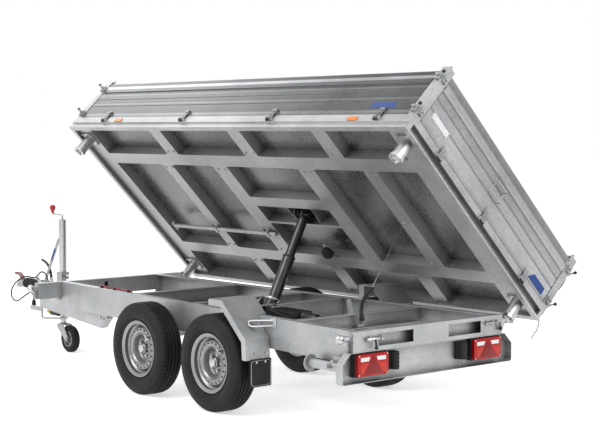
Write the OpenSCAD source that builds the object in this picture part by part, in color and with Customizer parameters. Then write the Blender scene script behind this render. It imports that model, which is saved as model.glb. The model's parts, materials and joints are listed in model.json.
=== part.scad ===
// Three-way tipping trailer with two axles, parked on its jockey wheel, bed raised to its right side.
// X runs rearwards from the coupling, Y to the trailer's right, Z up.
// Inside the modules Z is the height above the ground; stand() puts the origin at the coupling ball's centre.

/* [Stance] */
// Height of the coupling ball's centre above the ground
ball_h = 470; // [460:5:480]
// Distance from the coupling ball to the front axle
ball_to_axle = 3050; // [3020:10:3080]
// Distance between the two axles
axle_spacing = 830; // [800:10:860]

/* [Wheels] */
// Outside diameter of a road tyre
tyre_d = 650; // [630:2:660]
// Width of a road tyre
tyre_w = 185; // [165:1:190]
// Diameter over the rim's edge
rim_d = 396; // [380:1:410]
// Width over the rim's edges
rim_w = 156; // [140:1:160]
// Gap between a side rail and the tyre at the rear axle
tyre_gap = 47.6; // [42:0.1:60]
// Number of round holes near the disc's edge
disc_holes = 20; // [12:1:24]
// Diameter of each hole in the disc
disc_hole_d = 14; // [8:1:16]

/* [Chassis] */
// Height of the chassis top above the ground
chassis_top = 650; // [645:1:655]
// Height of a side rail
rail_h = 200; // [195:1:205]
// Width of a side rail's flanges
rail_flange = 60; // [40:1:70]
// Thickness of the bent sheet
sheet = 5; // [4:0.5:7]
// Half the chassis width at its front end
frame_half_front = 480; // [470:1:490]
// Half the chassis width at its rear end
frame_half_rear = 640; // [630:1:645]
// Place of the rails' front end behind the ball
frame_front = 1500; // [1480:10:1520]
// Length of the chassis from the rails' front end to the rear crossmember's face
frame_l = 3630; // [3620:5:3640]
// Height of the front and rear crossmembers
cross_h = 125; // [115:1:135]
// Depth of the front and rear crossmembers along the trailer
cross_d = 65; // [55:1:75]
// Length of the front crossmember beyond the chassis on each side
front_cross_out = 205; // [195:1:210]
// Length of the rear crossmember beyond the chassis on each side
rear_cross_out = 20; // [15:1:40]

/* [Drawbar] */
// Height of a drawbar beam
drawbar_h = 110; // [100:1:115]
// Width of a drawbar beam
drawbar_w = 60; // [50:1:66]
// Place of the drawbar's front end behind the ball
drawbar_front = 600; // [580:10:620]
// Place of the drawbar's rear end behind the ball
drawbar_rear = 2200; // [2150:10:2250]
// Height of the overrun tube's middle above the coupling ball
overrun_rise = 28; // [24:1:34]
// Radius of the overrun tube
overrun_r = 25; // [20:1:28]
// Radius of the ball socket
socket_r = 25.2; // [24:0.1:26]
// Depth of the socket's straight wall
socket_wall = 15; // [12:1:18]

/* [Jockey wheel] */
// Place of the jockey tube behind the ball
jockey_x = 933; // [920:1:945]
// Place of the jockey tube beside the middle, to the left
jockey_y = 125; // [120:1:128]
// Outside diameter of the jockey tube
jockey_tube_d = 60; // [56:1:62]
// Height of the jockey tube's top above the ground
jockey_top = 1105; // [1000:5:1150]
// Diameter of the jockey wheel
jockey_wheel_d = 225; // [215:1:230]
// Width of the jockey wheel
jockey_wheel_w = 64; // [56:1:70]
// Distance that the jockey wheel trails behind its tube
jockey_trail = 110; // [90:1:120]

/* [Bed] */
// Distance from the front tipping pivots to the bed's front edge
bed_over_front = 127.5; // [120:0.5:140]
// Distance from the rear tipping pivots to the bed's rear edge
bed_over_rear = 102.5; // [96:0.5:110]
// Width of the bed over its edge trims
bed_w = 1790; // [1780:2:1800]
// Height of the trims' lower edge with the bed down
bed_h = 740; // [735:1:745]
// Height of the edge trim
trim_h = 110; // [105:1:115]
// Depth of the edge trim
trim_t = 40; // [35:1:45]
// Height of a side gate
side_h = 390; // [350:5:400]
// Thickness of a side gate
side_t = 25; // [22:1:28]
// Thickness of the floor sheet
floor_t = 4; // [3:0.5:6]
// Depth of the beams under the floor
beam_h = 78; // [72:1:82]
// Width of the long beams under the floor
beam_w = 110; // [100:1:116]
// Half the distance between the long beams' middles
beam_half = 520; // [510:1:530]
// Thickness of the beams' sheet
beam_t = 4; // [3:0.5:5]
// Angle of the raised bed
tip = 46; // [45:1:47]
// Distance of the tipping pivots from the rear crossmember's ends
pivot_out = 80; // [78:1:90]
// Height of the tipping pivots above the ground
pivot_z = 610; // [608:1:612]
// Distance of the gates' hinge pins outside the trim
hinge_out = 14; // [13:1:16]

/* [Ram] */
// Place of the ram behind the ball
ram_x = 3462; // [3450:1:3475]
// Place of the ram's trunnion beside the middle
trunnion_y = 70; // [65:1:75]
// Height of the ram's trunnion above the ground
trunnion_z = 610; // [605:1:612]
// Outside diameter of the ram's outer barrel
barrel_d = 116; // [110:1:120]
// Diameter of the ram's first stage
stage_d = 88; // [84:1:92]
// Diameter of the ram's second stage
rod_d = 70; // [64:1:74]
// Height of the ram's head pin with the bed down
ram_head_z = 790; // [785:1:792]
// Place of the ram's head pin beside the middle with the bed down
ram_head_y = 40; // [35:1:45]

/* [Hidden] */
$fn = 48;
seat = 0.3;

galv = [0.72, 0.74, 0.75];
galv_bright = [0.82, 0.83, 0.84];
black = [0.09, 0.09, 0.10];
rubber = [0.12, 0.12, 0.13];
silver = [0.78, 0.79, 0.80];
red = [0.72, 0.12, 0.12];
orange = [0.95, 0.55, 0.10];

frame_rear = frame_front + frame_l;
rail_end = frame_rear - cross_d;
rail_bottom = chassis_top - rail_h;
cross_z = chassis_top - cross_h;
wheel_r = tyre_d / 2;
axle_xs = [ball_to_axle, ball_to_axle + axle_spacing];
tube_z = ball_h + overrun_rise;
bed_half = bed_w / 2;
trim_top = bed_h + trim_h;
floor_under = trim_top - floor_t;
beam_z = floor_under - beam_h;
front_ball_x = frame_front - cross_d / 2;
rear_ball_x = frame_rear - cross_d / 2;
bed_front = front_ball_x - bed_over_front;
bed_rear = rear_ball_x + bed_over_rear;
bed_l = bed_rear - bed_front;
front_cross_half = frame_half_front + front_cross_out;
rear_cross_half = frame_half_rear + rear_cross_out;
pivot_y = rear_cross_half + pivot_out;
function frame_half(x) = frame_half_front + (frame_half_rear - frame_half_front) * (x - frame_front) / frame_l;
wheel_y = frame_half(axle_xs[1]) + tyre_gap + tyre_w / 2;

// Puts a part drawn above the ground into the coupling's frame.
module stand() { translate([0, 0, -ball_h]) children(); }

// Raises a part drawn with the bed down about the right-hand pivots.
module tipped() {
    stand() translate([0, pivot_y, pivot_z]) rotate([-tip, 0, 0]) translate([0, -pivot_y, -pivot_z]) children();
}

// Extrudes a profile of [x, z] points across the trailer, from y0 to y1.
module across(y0, y1, pts) { translate([0, y1, 0]) rotate([90, 0, 0]) linear_extrude(y1 - y0) polygon(pts); }

// Extrudes a profile of [y, z] points along the trailer, from x0 to x1.
module along(x0, x1, pts) { translate([x0, 0, 0]) rotate([90, 0, 90]) linear_extrude(x1 - x0) polygon(pts); }

// A round bar along X, Y or Z.
module bar_x(x0, x1, y, z, d) { translate([x0, y, z]) rotate([0, 90, 0]) cylinder(d = d, h = x1 - x0); }
module bar_y(y0, y1, x, z, d) { translate([x, y1, z]) rotate([90, 0, 0]) cylinder(d = d, h = y1 - y0); }
module bar_z(z0, z1, x, y, d) { translate([x, y, z0]) cylinder(d = d, h = z1 - z0); }

// A box given by its low and high corners.
module box(a, b) { translate(a) cube(b - a); }

// The same part on the left and on the right.
module both_sides() { for (s = [0, 1]) mirror([0, s, 0]) children(); }

// Chassis

module rail_plan(w) {
    polygon([[frame_front, frame_half(frame_front)], [rail_end, frame_half(rail_end)],
        [rail_end, frame_half(rail_end) - w], [frame_front, frame_half(frame_front) - w]]);
}

module rail() {
    color(galv) {
        translate([0, 0, rail_bottom]) linear_extrude(rail_h) rail_plan(sheet);
        for (z = [rail_bottom, chassis_top - sheet])
            translate([0, 0, z]) linear_extrude(sheet) rail_plan(rail_flange);
        box([frame_front, frame_half_front - rail_flange, rail_bottom],
            [frame_front + sheet, frame_half_front, chassis_top]);
    }
}

module rail_left() { stand() mirror([0, 1, 0]) rail(); }
module rail_right() { stand() rail(); }

// A closed box crossmember between x0 and x1, with windows of [middle, width] in its rear face.
module cross_box(x0, x1, half, windows) {
    margin = 24;
    difference() {
        box([x0, -half, cross_z], [x1, half, chassis_top]);
        box([x0 + sheet, -half + sheet, cross_z + sheet], [x1 - sheet, half - sheet, chassis_top - sheet]);
        for (w = windows)
            box([x1 - sheet - 1, w[0] - w[1] / 2, cross_z + margin], [x1 + 1, w[0] + w[1] / 2, chassis_top - margin]);
    }
}

module front_crossmember() {
    color(galv) stand() cross_box(frame_front - cross_d, frame_front, front_cross_half, [[-62, 34]]);
}

module rear_crossmember() {
    color(galv) stand() cross_box(rail_end, frame_rear, rear_cross_half, [[-305, 300], [305, 300]]);
}

// Place and height of each channel between the rails.
mid_channels = [[frame_front + 1000, 110], [ram_x - 212, 150], [ram_x + 208, 150], [frame_rear - 710, 100]];
mid_flange = 55;

module mid_crossmembers() {
    top = chassis_top - sheet - seat;
    color(galv) stand() for (row = mid_channels) {
        half = frame_half(row[0]) - sheet - seat;
        lip = frame_half(row[0]) - rail_flange - 1;
        box([row[0], -half, top - row[1]], [row[0] + sheet, half, top]);
        for (z = [top - row[1], top - sheet]) box([row[0], -lip, z], [row[0] + mid_flange, lip, z + sheet]);
    }
    x = mid_channels[3][0];
    color(galv) stand() across(-6, 0, [[x + 1, top - 80], [x + 1, top - 6], [x - 42, top + 90], [x - 78, top + 78], [x - 34, top - 80]]);
}

// Balls that the bed's corners tip on, each on a pin from a crossmember's end with a gusset under it.
// Each ball has a bore for its locking pin along the tipping axis.
ball_r = 30;
ball_pin_d = 34;
ball_flange = [58, 6];
ball_bore = 13;
gusset_t = 10;

module tip_balls() {
    color(galv_bright) stand() for (row = [[front_ball_x, front_cross_half], [rear_ball_x, rear_cross_half]])
        both_sides() {
            face = row[1] + seat;
            bar_y(face, face + ball_flange[1], row[0], pivot_z, ball_flange[0]);
            difference() {
                union() {
                    bar_y(face, pivot_y, row[0], pivot_z, ball_pin_d);
                    translate([row[0], pivot_y, pivot_z]) sphere(r = ball_r);
                }
                bar_x(row[0] - ball_r - 1, row[0] + ball_r + 1, pivot_y, pivot_z, ball_bore);
            }
            along(row[0] - gusset_t / 2, row[0] + gusset_t / 2, [[face, cross_z], [face, pivot_z - 4],
                [pivot_y - 24, pivot_z - 4], [pivot_y - 24, pivot_z - 30], [face + 22, cross_z]]);
        }
}

// Drawbar: two beams that spread from the overrun device and pass under the rails.
drawbar_nose_y = 125;
drawbar_foot_y = frame_half(drawbar_rear) - rail_flange / 2;
drawbar_z1 = rail_bottom - seat;
drawbar_z0 = drawbar_z1 - drawbar_h;
deck_t = 8;
deck_z = drawbar_z1 + deck_t;
deck_x = [drawbar_front + 5, 800];
deck_half = drawbar_nose_y + 45;

module drawbar() {
    w = drawbar_w / 2;
    taper = 130;
    color(galv) stand() {
        difference() {
            both_sides() translate([0, 0, drawbar_z0]) linear_extrude(drawbar_h)
                polygon([[drawbar_front, drawbar_nose_y - w], [drawbar_rear, drawbar_foot_y - w],
                    [drawbar_rear, drawbar_foot_y + w], [drawbar_front, drawbar_nose_y + w]]);
            across(-600, 600, [[drawbar_rear - taper, drawbar_z0 - 1], [drawbar_rear + 1, drawbar_z0 - 1],
                [drawbar_rear + 1, drawbar_z1 - 20]]);
        }
        box([deck_x[0], -deck_half, drawbar_z1], [deck_x[1], deck_half, deck_z]);
        box([drawbar_front, -drawbar_nose_y, drawbar_z0 + 12], [drawbar_front + 8, drawbar_nose_y, drawbar_z1]);
        box([deck_x[1] - 60, -drawbar_nose_y, drawbar_z0 + 12], [deck_x[1] - 52, drawbar_nose_y, drawbar_z1]);
        lead_holders();
    }
}

// Arms on the drawbar that hold the lead's gland and its parked plug.
plug_d = 42;

module lead_holders() {
    start = lead_route[0];
    end = lead_route[len(lead_route) - 1];
    bar_x(start[0] + seat, start[0] + 30, start[1], start[2], 18);
    across(start[1] + 4, start[1] + 9, [[start[0] + 4, start[2] - 14], [deck_x[0] + 20, deck_z - 1],
        [deck_x[0] + 70, deck_z - 1], [start[0] + 30, start[2] + 14], [start[0] + 4, start[2] + 14]]);
    box([end[0] - 18, end[1] - plug_d / 2 - seat - 5, end[2] - 84],
        [drawbar_front + 5, end[1] - plug_d / 2 - seat, end[2] - 44]);
}

// Overrun device: a cast housing that clamps the sliding tube, with a rubber bellows in front.
housing_x = [430, 790];
bellows_front = 225;
bellows_folds = 6;
housing_r = overrun_r + 11;
base_half = 44;

module overrun_device() {
    fold = (housing_x[0] - bellows_front) / bellows_folds;
    stand() {
        color(galv_bright) difference() {
            union() {
                bar_x(housing_x[0], housing_x[1], 0, tube_z, 2 * housing_r);
                box([deck_x[0] + 10, -base_half, deck_z], [deck_x[1] - 20, base_half, tube_z - 12]);
            }
            bar_x(housing_x[0] - 1, housing_x[1] + 1, 0, tube_z, 2 * (overrun_r + seat));
        }
        color(silver) bar_x(bellows_front - 28, housing_x[1] + 40, 0, tube_z, 2 * overrun_r);
        color(black) translate([bellows_front, 0, tube_z]) rotate([0, 90, 0]) rotate_extrude()
            polygon(concat([[overrun_r + seat, 0]],
                [for (i = [0:bellows_folds - 1]) each [[overrun_r + 6, i * fold], [overrun_r + 17, (i + 0.5) * fold]]],
                [[overrun_r + 6, bellows_folds * fold - seat], [overrun_r + seat, bellows_folds * fold - seat]]));
    }
}

// Coupling head: a shell round the ball socket, a sleeve on the overrun tube and a lifting handle.
head_wall = 9;
sleeve_x = 95;

module coupling_head() {
    r = socket_r + head_wall;
    color(galv_bright) difference() {
        union() {
            translate([0, 0, 1 - socket_wall]) cylinder(r = r, h = socket_wall);
            translate([0, 0, 1]) intersection() {
                sphere(r = r);
                translate([-r - 1, -r - 1, -1]) cube([2 * r + 2, 2 * r + 2, r + 2]);
            }
            translate([0, -24, -8]) cube([sleeve_x + 10, 48, overrun_rise + 32]);
            bar_x(sleeve_x, bellows_front - seat, 0, overrun_rise, 2 * (overrun_r + 9));
        }
        translate([0, 0, -socket_wall]) cylinder(r = socket_r, h = socket_wall + 1);
        translate([0, 0, 1]) sphere(r = socket_r);
        bar_x(bellows_front - 28 - seat, bellows_front + 1, 0, overrun_rise, 2 * (overrun_r + seat));
    }
    color([0.46, 0.42, 0.42]) {
        across(-14, 14, [[20, 51 + seat], [64, 51 + seat], [40, 84], [10, 104], [-34, 112], [-52, 96], [-34, 94], [4, 82]]);
        bar_y(-30, 30, -42, 104, 20);
    }
}

// Handbrake: a toothed plate on the housing and a lever that leans back.
brake_y = -base_half - seat;

module handbrake() {
    foot = tube_z + 22;
    color(galv) stand() {
        across(brake_y - 8, brake_y, [[deck_x[0] - 20, foot - 50], [deck_x[0] + 90, deck_z + 22], [deck_x[0] + 90, foot],
            [deck_x[0] + 40, foot + 40], [480, foot + 30], [460, foot]]);
        across(brake_y - 14.3, brake_y - 8.3, [[490, foot + 6], [520, foot - 6], [735, foot + 350], [705, foot + 362]]);
    }
    color(black) stand() across(brake_y + seat, brake_y + 16, [[470, foot + 2], [505, foot + 2], [530, foot + 52],
        [522, foot + 96], [498, foot + 132], [462, foot + 158], [420, foot + 170], [414, foot + 148], [448, foot + 136],
        [478, foot + 112], [494, foot + 84], [498, foot + 54]]);
}

// Jockey post: the outer tube in its clamp, the inner tube under it and the crank on top.
jockey_crown = jockey_wheel_d + 14;
clamp_z = chassis_top - 45;
jockey_wall = 4;

module jockey_post() {
    inner = jockey_tube_d - 2 * jockey_wall - 1;
    post_y = -jockey_y - jockey_tube_d / 2 - 9;
    stand() {
        color(galv) difference() {
            union() {
                bar_z(drawbar_z1 - 20, jockey_top, jockey_x, -jockey_y, jockey_tube_d);
                box([jockey_x - 42, post_y, clamp_z], [jockey_x + 42, 40 - jockey_y, clamp_z + 60]);
                box([jockey_x - 42, post_y, drawbar_z1 + seat], [jockey_x + 42, post_y + 9, clamp_z + 1]);
            }
            bar_z(drawbar_z1 - 21, jockey_top - 6, jockey_x, -jockey_y, jockey_tube_d - 2 * jockey_wall);
        }
        color(silver) bar_z(jockey_crown + 0.5, clamp_z, jockey_x, -jockey_y, inner);
        color(galv) {
            bar_z(jockey_top, jockey_top + 20, jockey_x, -jockey_y, 16);
            box([jockey_x - 130, -jockey_y - 8, jockey_top + 12], [jockey_x + 8, 8 - jockey_y, jockey_top + 22]);
        }
        color(red) bar_z(jockey_top + 22 + seat, jockey_top + 82, jockey_x - 120, -jockey_y, 28);
    }
}

// Jockey fork and wheel
jockey_axle = [jockey_x + jockey_trail, jockey_wheel_d / 2];

module jockey_fork() {
    half = jockey_wheel_w / 2 + 5;
    leg_t = 5;
    color(galv) stand() {
        bar_z(jockey_crown - 10, jockey_crown, jockey_x, -jockey_y, jockey_tube_d - 6);
        box([jockey_x - 34, -jockey_y - half - leg_t, jockey_crown - 14],
            [jockey_x + 60, half + leg_t - jockey_y, jockey_crown - 9]);
        for (side = [-1, 1]) {
            y = -jockey_y + side * (half + leg_t / 2);
            across(y - leg_t / 2, y + leg_t / 2, [[jockey_x - 34, jockey_crown - 10], [jockey_x - 34, jockey_crown - 40],
                [jockey_axle[0] - 24, jockey_axle[1] - 6], [jockey_axle[0], jockey_axle[1] - 24],
                [jockey_axle[0] + 24, jockey_axle[1]], [jockey_axle[0] + 18, jockey_axle[1] + 24],
                [jockey_x + 60, jockey_crown - 10]]);
        }
        bar_y(-jockey_y - half - leg_t - 6, half + leg_t + 6 - jockey_y, jockey_axle[0], jockey_axle[1], 15.8);
    }
}

jockey_rim_r = 0.56 * jockey_wheel_d / 2;

module on_jockey() { stand() translate([jockey_axle[0], -jockey_y, jockey_axle[1]]) rotate([90, 0, 0]) children(); }

module jockey_rim() {
    w = jockey_wheel_w / 2;
    color(silver) on_jockey() rotate_extrude() polygon([[8, -w], [20, -w], [20, -8], [jockey_rim_r - 8, -8],
        [jockey_rim_r - 8, 4 - w], [jockey_rim_r, 4 - w], [jockey_rim_r, w - 4], [jockey_rim_r - 8, w - 4],
        [jockey_rim_r - 8, 8], [20, 8], [20, w], [8, w]]);
}

module jockey_tyre() {
    w = jockey_wheel_w / 2;
    r = jockey_wheel_d / 2;
    color(rubber) on_jockey() rotate_extrude() polygon([[jockey_rim_r + seat, 4 - w], [r - 26, -w], [r - 8, 5 - w],
        [r - 2, 12 - w], [r, 20 - w], [r, w - 20], [r - 2, w - 12], [r - 8, w - 5], [r - 26, w],
        [jockey_rim_r + seat, w - 4]]);
}

// Axles: square tubes under the rails, with trailing arms that carry the stub axles.
axle_lead = 150;
axle_tube = 80;
axle_z = rail_bottom - 6 - axle_tube / 2;
arm_y = wheel_y - 180;
arm_t = 45;
drum_r = 112;
drum_back = 70;

module axle_beams() {
    color(galv) stand() for (x = axle_xs) {
        bx = x - axle_lead;
        box([bx - axle_tube / 2, -arm_y, axle_z - axle_tube / 2], [bx + axle_tube / 2, arm_y, axle_z + axle_tube / 2]);
        both_sides() box([bx - 70, frame_half(bx) - 62, axle_z + axle_tube / 2],
            [bx + 70, frame_half(bx) - 8, rail_bottom]);
    }
}

module swing_arms() {
    color(galv) stand() for (x = axle_xs) both_sides() {
        bx = x - axle_lead;
        y1 = arm_y + seat;
        bar_y(y1, y1 + arm_t, bx, axle_z, axle_tube);
        bar_y(y1, y1 + arm_t, x, wheel_r, 72);
        across(y1, y1 + arm_t, [[bx - 8, axle_z - 38], [bx + 12, axle_z + 38], [x + 10, wheel_r + 34], [x - 10, wheel_r - 34]]);
        bar_y(y1 + arm_t - 1, wheel_y - drum_back - seat, x, wheel_r, 56);
        bar_y(wheel_y - drum_back - 20, wheel_y - drum_back - 6, x, wheel_r, 2 * drum_r + 10);
    }
}

// Road wheel, drawn with its axis along Z and its outer side up.
module rim() {
    r = rim_d / 2;
    w = rim_w / 2;
    bead = r - 18;
    well = r - 42;
    t = 5;
    color(silver) {
        difference() {
            union() {
                rotate_extrude() polygon([[r, -w], [r, 6 - w], [bead, 12 - w], [bead, -42], [well, -20], [well, 16],
                    [bead, 38], [bead, w - 12], [r, w - 6], [r, w], [r - t, w], [bead - t, w - 9], [bead - t, 42],
                    [well - t, 20], [well - t, -22], [bead - t, -44], [bead - t, 9 - w], [r - t, -w]]);
                rotate_extrude() polygon([[well - t, 10], [well - t, 26], [well - 11, 48], [well - 30, 53],
                    [well - 44, 50], [well - 50, 58], [well - 58, 50], [well - 70, 12], [78, 3], [28, 3], [28, -4],
                    [82, -4], [well - 64, 5], [well - 50, 44], [well - 44, 42], [well - 30, 46], [well - 16, 42]]);
            }
            for (i = [0:disc_holes - 1]) rotate([0, 0, i * 360 / disc_holes])
                translate([well - 22, 0, 20]) cylinder(d = disc_hole_d, h = 60, $fn = 16);
        }
        translate([0, 0, -drum_back]) cylinder(r = drum_r, h = drum_back - 4);
        translate([0, 0, -4.5]) cylinder(r = 32, h = 40);
        translate([0, 0, 35]) cylinder(r1 = 30, r2 = 20, h = 12);
        for (i = [0:4]) rotate([0, 0, i * 72]) translate([56, 0, 2]) cylinder(d = 22, h = 18, $fn = 6);
    }
}

module tyre() {
    bead = rim_d / 2 - 18 + seat;
    edge = rim_w / 2 - 13;
    w = tyre_w / 2;
    r = wheel_r;
    half = [[bead, edge], [rim_d / 2 + 3, edge + 1], [rim_d / 2 + 10, w - 14], [r - 100, w - 4], [r - 75, w],
        [r - 42, w - 2], [r - 18, w - 9], [r - 6, w - 18], [r, w - 34]];
    color(rubber) rotate_extrude($fn = 96) polygon(concat(half, [for (i = [len(half) - 1:-1:0]) [half[i][0], -half[i][1]]]));
}

module wheel_at(i, side) {
    stand() translate([axle_xs[i], side * wheel_y, wheel_r]) rotate([-side * 90, 0, 0]) children();
}

module rim_front_left() { wheel_at(0, -1) rim(); }
module rim_front_right() { wheel_at(0, 1) rim(); }
module rim_rear_left() { wheel_at(1, -1) rim(); }
module rim_rear_right() { wheel_at(1, 1) rim(); }
module tyre_front_left() { wheel_at(0, -1) tyre(); }
module tyre_front_right() { wheel_at(0, 1) tyre(); }
module tyre_rear_left() { wheel_at(1, -1) tyre(); }
module tyre_rear_right() { wheel_at(1, 1) tyre(); }

// Ram cradle: two bearing plates for the trunnions, held by a rail on each side of the barrel.
trunnion_d = 40;
bearing_x = 100;
bearing_t = 14;
cradle_half = 105;
cradle_z = [545, 600];

module ram_cradle() {
    x0 = mid_channels[1][0] + sheet + seat;
    x1 = mid_channels[2][0] - seat;
    color(galv) stand() {
        for (side = [-1, 1]) {
            y = trunnion_y + side * cradle_half;
            box([x0, y - 5, cradle_z[0]], [x1, y + 5, cradle_z[1]]);
        }
        for (side = [-1, 1]) difference() {
            x = ram_x + side * (bearing_x + bearing_t / 2);
            union() {
                box([x - bearing_t / 2, trunnion_y - cradle_half + 5, cradle_z[0]],
                    [x + bearing_t / 2, trunnion_y + cradle_half - 5, cradle_z[1]]);
                bar_x(x - bearing_t / 2, x + bearing_t / 2, trunnion_y, trunnion_z, 2 * trunnion_d);
            }
            bar_x(x - bearing_t, x + bearing_t, trunnion_y, trunnion_z, trunnion_d + 0.1);
        }
    }
}

// Ram, drawn along its own axis from the trunnion, extended as with the bed raised.
function turned(y, z) = [pivot_y + (y - pivot_y) * cos(tip) + (z - pivot_z) * sin(tip),
    pivot_z - (y - pivot_y) * sin(tip) + (z - pivot_z) * cos(tip)];
ram_head = turned(ram_head_y, ram_head_z);
ram_reach = norm([ram_head[0] - trunnion_y, ram_head[1] - trunnion_z]);
ram_lean = atan2(ram_head[0] - trunnion_y, ram_head[1] - trunnion_z);
ram_closed = norm([ram_head_y - trunnion_y, ram_head_z - trunnion_z]);
stage_stroke = (ram_reach - ram_closed) / 2;
collar_top = 42;
barrel_below = 330;
stage_top = ram_closed - 70 + stage_stroke;
eye_d = 60;

module on_ram() { stand() translate([ram_x, trunnion_y, trunnion_z]) rotate([-ram_lean, 0, 0]) children(); }

module ram_barrel() {
    on_ram() {
        color(black) difference() {
            union() {
                translate([0, 0, -barrel_below]) cylinder(d = barrel_d, h = barrel_below + 24);
                bar_x(-bearing_x - bearing_t - 4, bearing_x + bearing_t + 4, 0, 0, trunnion_d);
            }
            translate([0, 0, 14 - barrel_below]) cylinder(d = stage_d + 1, h = barrel_below + 60);
        }
        color(galv_bright) difference() {
            translate([0, 0, 24]) cylinder(d = barrel_d + 8, h = collar_top - 24);
            translate([0, 0, 20]) cylinder(d = stage_d + 1, h = 60);
        }
    }
}

module ram_stage() {
    on_ram() color([0.16, 0.16, 0.17]) difference() {
        translate([0, 0, 18 - barrel_below + stage_stroke + 4]) cylinder(d = stage_d, h = stage_top + barrel_below - 22 - stage_stroke);
        translate([0, 0, 30 - barrel_below + stage_stroke + 4]) cylinder(d = rod_d + 1, h = ram_reach + barrel_below);
    }
}

module ram_rod() {
    on_ram() color([0.16, 0.16, 0.17]) {
        translate([0, 0, 36 - barrel_below + 2 * stage_stroke]) cylinder(d = rod_d, h = ram_reach - 2 * stage_stroke + barrel_below - 36 - 34);
        translate([0, 0, ram_reach - 40]) cylinder(d = 44, h = 24);
        translate([0, 0, ram_reach]) sphere(d = eye_d);
        bar_x(-54, 54, 0, ram_reach, 30);
    }
}

// Power pack: pump and tank in a black case, on a tray between two crossmembers.
pack = [mid_channels[2][0] + 90, mid_channels[2][0] + 390, -230, -60, chassis_top - 105, chassis_top - 20];

module power_pack() {
    stand() {
        color(black) box([pack[0], pack[2], pack[4] + 5], [pack[1], pack[3], pack[5]]);
        color(galv) box([mid_channels[2][0] + sheet + seat, pack[2] - 10, pack[4]], [mid_channels[3][0] - seat, pack[3] + 10, pack[4] + 5 - seat]);
    }
}

// Fenders over the rear half of the rear wheels; each profile point is [x behind the axle, height].
fender_line = [[0, tyre_d + 102], [142, tyre_d + 102], [wheel_r + 63, tyre_d - 128], [wheel_r + 71, tyre_d - 262]];
fender_t = 3;
fender_half = wheel_y + 75;
fender_in = wheel_y - 205;
fender_lip = 42;

module fenders() {
    x = axle_xs[1];
    top = [for (p = fender_line) [x + p[0], p[1]]];
    under = fender_line[0][1] - fender_t;
    low = [[x + fender_line[3][0] - fender_t, fender_line[3][1]], [x + fender_line[2][0] - fender_t, fender_line[2][1] - 1.5],
        [x + fender_line[1][0] - 1, under], [x, under]];
    lip = [[x + fender_line[3][0] - fender_lip, fender_line[3][1]], [x + fender_line[2][0] - fender_lip, fender_line[2][1] - 18],
        [x + fender_line[1][0] - 17, under + fender_t - fender_lip + 1], [x, under + fender_t - fender_lip + 1]];
    color(galv) stand() both_sides() {
        difference() {
            across(fender_in, fender_half, concat(top, low));
            translate([0, 0, 0]) linear_extrude(chassis_top + 3) polygon([[x - 10, 0], [x + 500, 0],
                [x + 500, frame_half(x + 500) + 4], [x - 10, frame_half(x - 10) + 4]]);
        }
        across(fender_half, fender_half + fender_t, concat(top, lip));
        box([x + 10, frame_half(x) - rail_flange, chassis_top + seat], [x + 60, frame_half(x) - 4, under - seat]);
    }
}

module mudflaps() {
    x = axle_xs[1] + fender_line[3][0] + seat;
    color(black) stand() both_sides() translate([x, 0, 0]) rotate([90, 0, 90]) linear_extrude(6)
        translate([wheel_y - 38, fender_line[3][1] - 86]) {
            square([150, 180], center = true);
            square([174, 156], center = true);
            for (a = [-1, 1], b = [-1, 1]) translate([75 * a, 78 * b]) circle(r = 12);
        }
}

// Light board: a tray with cut upper corners, open to the rear.
board_half = rear_cross_half + 90;
board_z = [335, cross_z - seat];
board_x = [frame_rear - 55, frame_rear + 2];
board_cut = 68;

// Outline with cut upper corners and small cuts below, set in by d.
module tray_outline(d) {
    top = board_cut - 0.586 * d;
    low = 12 - 0.586 * d;
    a = [d - board_half, board_z[0] + d];
    b = [board_half - d, board_z[1] - d];
    polygon([[a[0] + low, a[1]], [b[0] - low, a[1]], [b[0], a[1] + low], [b[0], b[1] - top], [b[0] - top, b[1]],
        [a[0] + top, b[1]], [a[0], b[1] - top], [a[0], a[1] + low]]);
}

module light_board() {
    color(galv) stand() {
        difference() {
            translate([board_x[0], 0, 0]) rotate([90, 0, 90]) linear_extrude(board_x[1] - board_x[0]) tray_outline(0);
            translate([board_x[0] + 3, 0, 0]) rotate([90, 0, 90]) linear_extrude(board_x[1]) tray_outline(3);
        }
        both_sides() box([rail_end - 120, frame_half_rear - 40, rail_bottom - 30],
            [board_x[0] - seat, frame_half_rear - 34, rail_bottom - seat]);
    }
}

lamp_y = [board_half - 375, board_half - 110];
lamp_z = [board_z[0] + 36, board_z[1] - 8];

module tail_lamps() {
    color(red) stand() both_sides() {
        box([board_x[0] + 3 + seat, lamp_y[0], lamp_z[0]], [board_x[1] - 18, lamp_y[1], lamp_z[1]]);
        box([board_x[1] - 18, lamp_y[0] + 8, lamp_z[0] + 8], [board_x[1] + 12, lamp_y[1] - 8, lamp_z[1] - 8]);
    }
}

module bump_blocks() {
    color(black) stand() both_sides() {
        box([board_x[0] + 3 + seat, lamp_y[0] - 113, board_z[0] + 57], [board_x[1] - 20, lamp_y[0] - 33, board_z[1] - 26]);
        bar_z(board_z[0] + 57, board_z[1] - 26, board_x[1] - 20, lamp_y[0] - 73, 60);
    }
}

// Support legs, folded up under the rear corners.
leg_y = rear_cross_half + 40;
leg_z = cross_z - 93;
leg_x = [rail_end - 275, rail_end - 5];

module support_legs() {
    color(galv) stand() both_sides() {
        bar_x(leg_x[0], leg_x[1], leg_y, leg_z, 58);
        bar_x(leg_x[0] - 8, leg_x[0], leg_y, leg_z, 106);
        box([leg_x[1] - 90, frame_half_rear - 3, cross_z - 90], [leg_x[1] - 20, leg_y - 20, leg_z + 60]);
        bar_y(leg_y + 24, leg_y + 62, leg_x[1] - 70, leg_z + 6, 34);
    }
}

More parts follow.
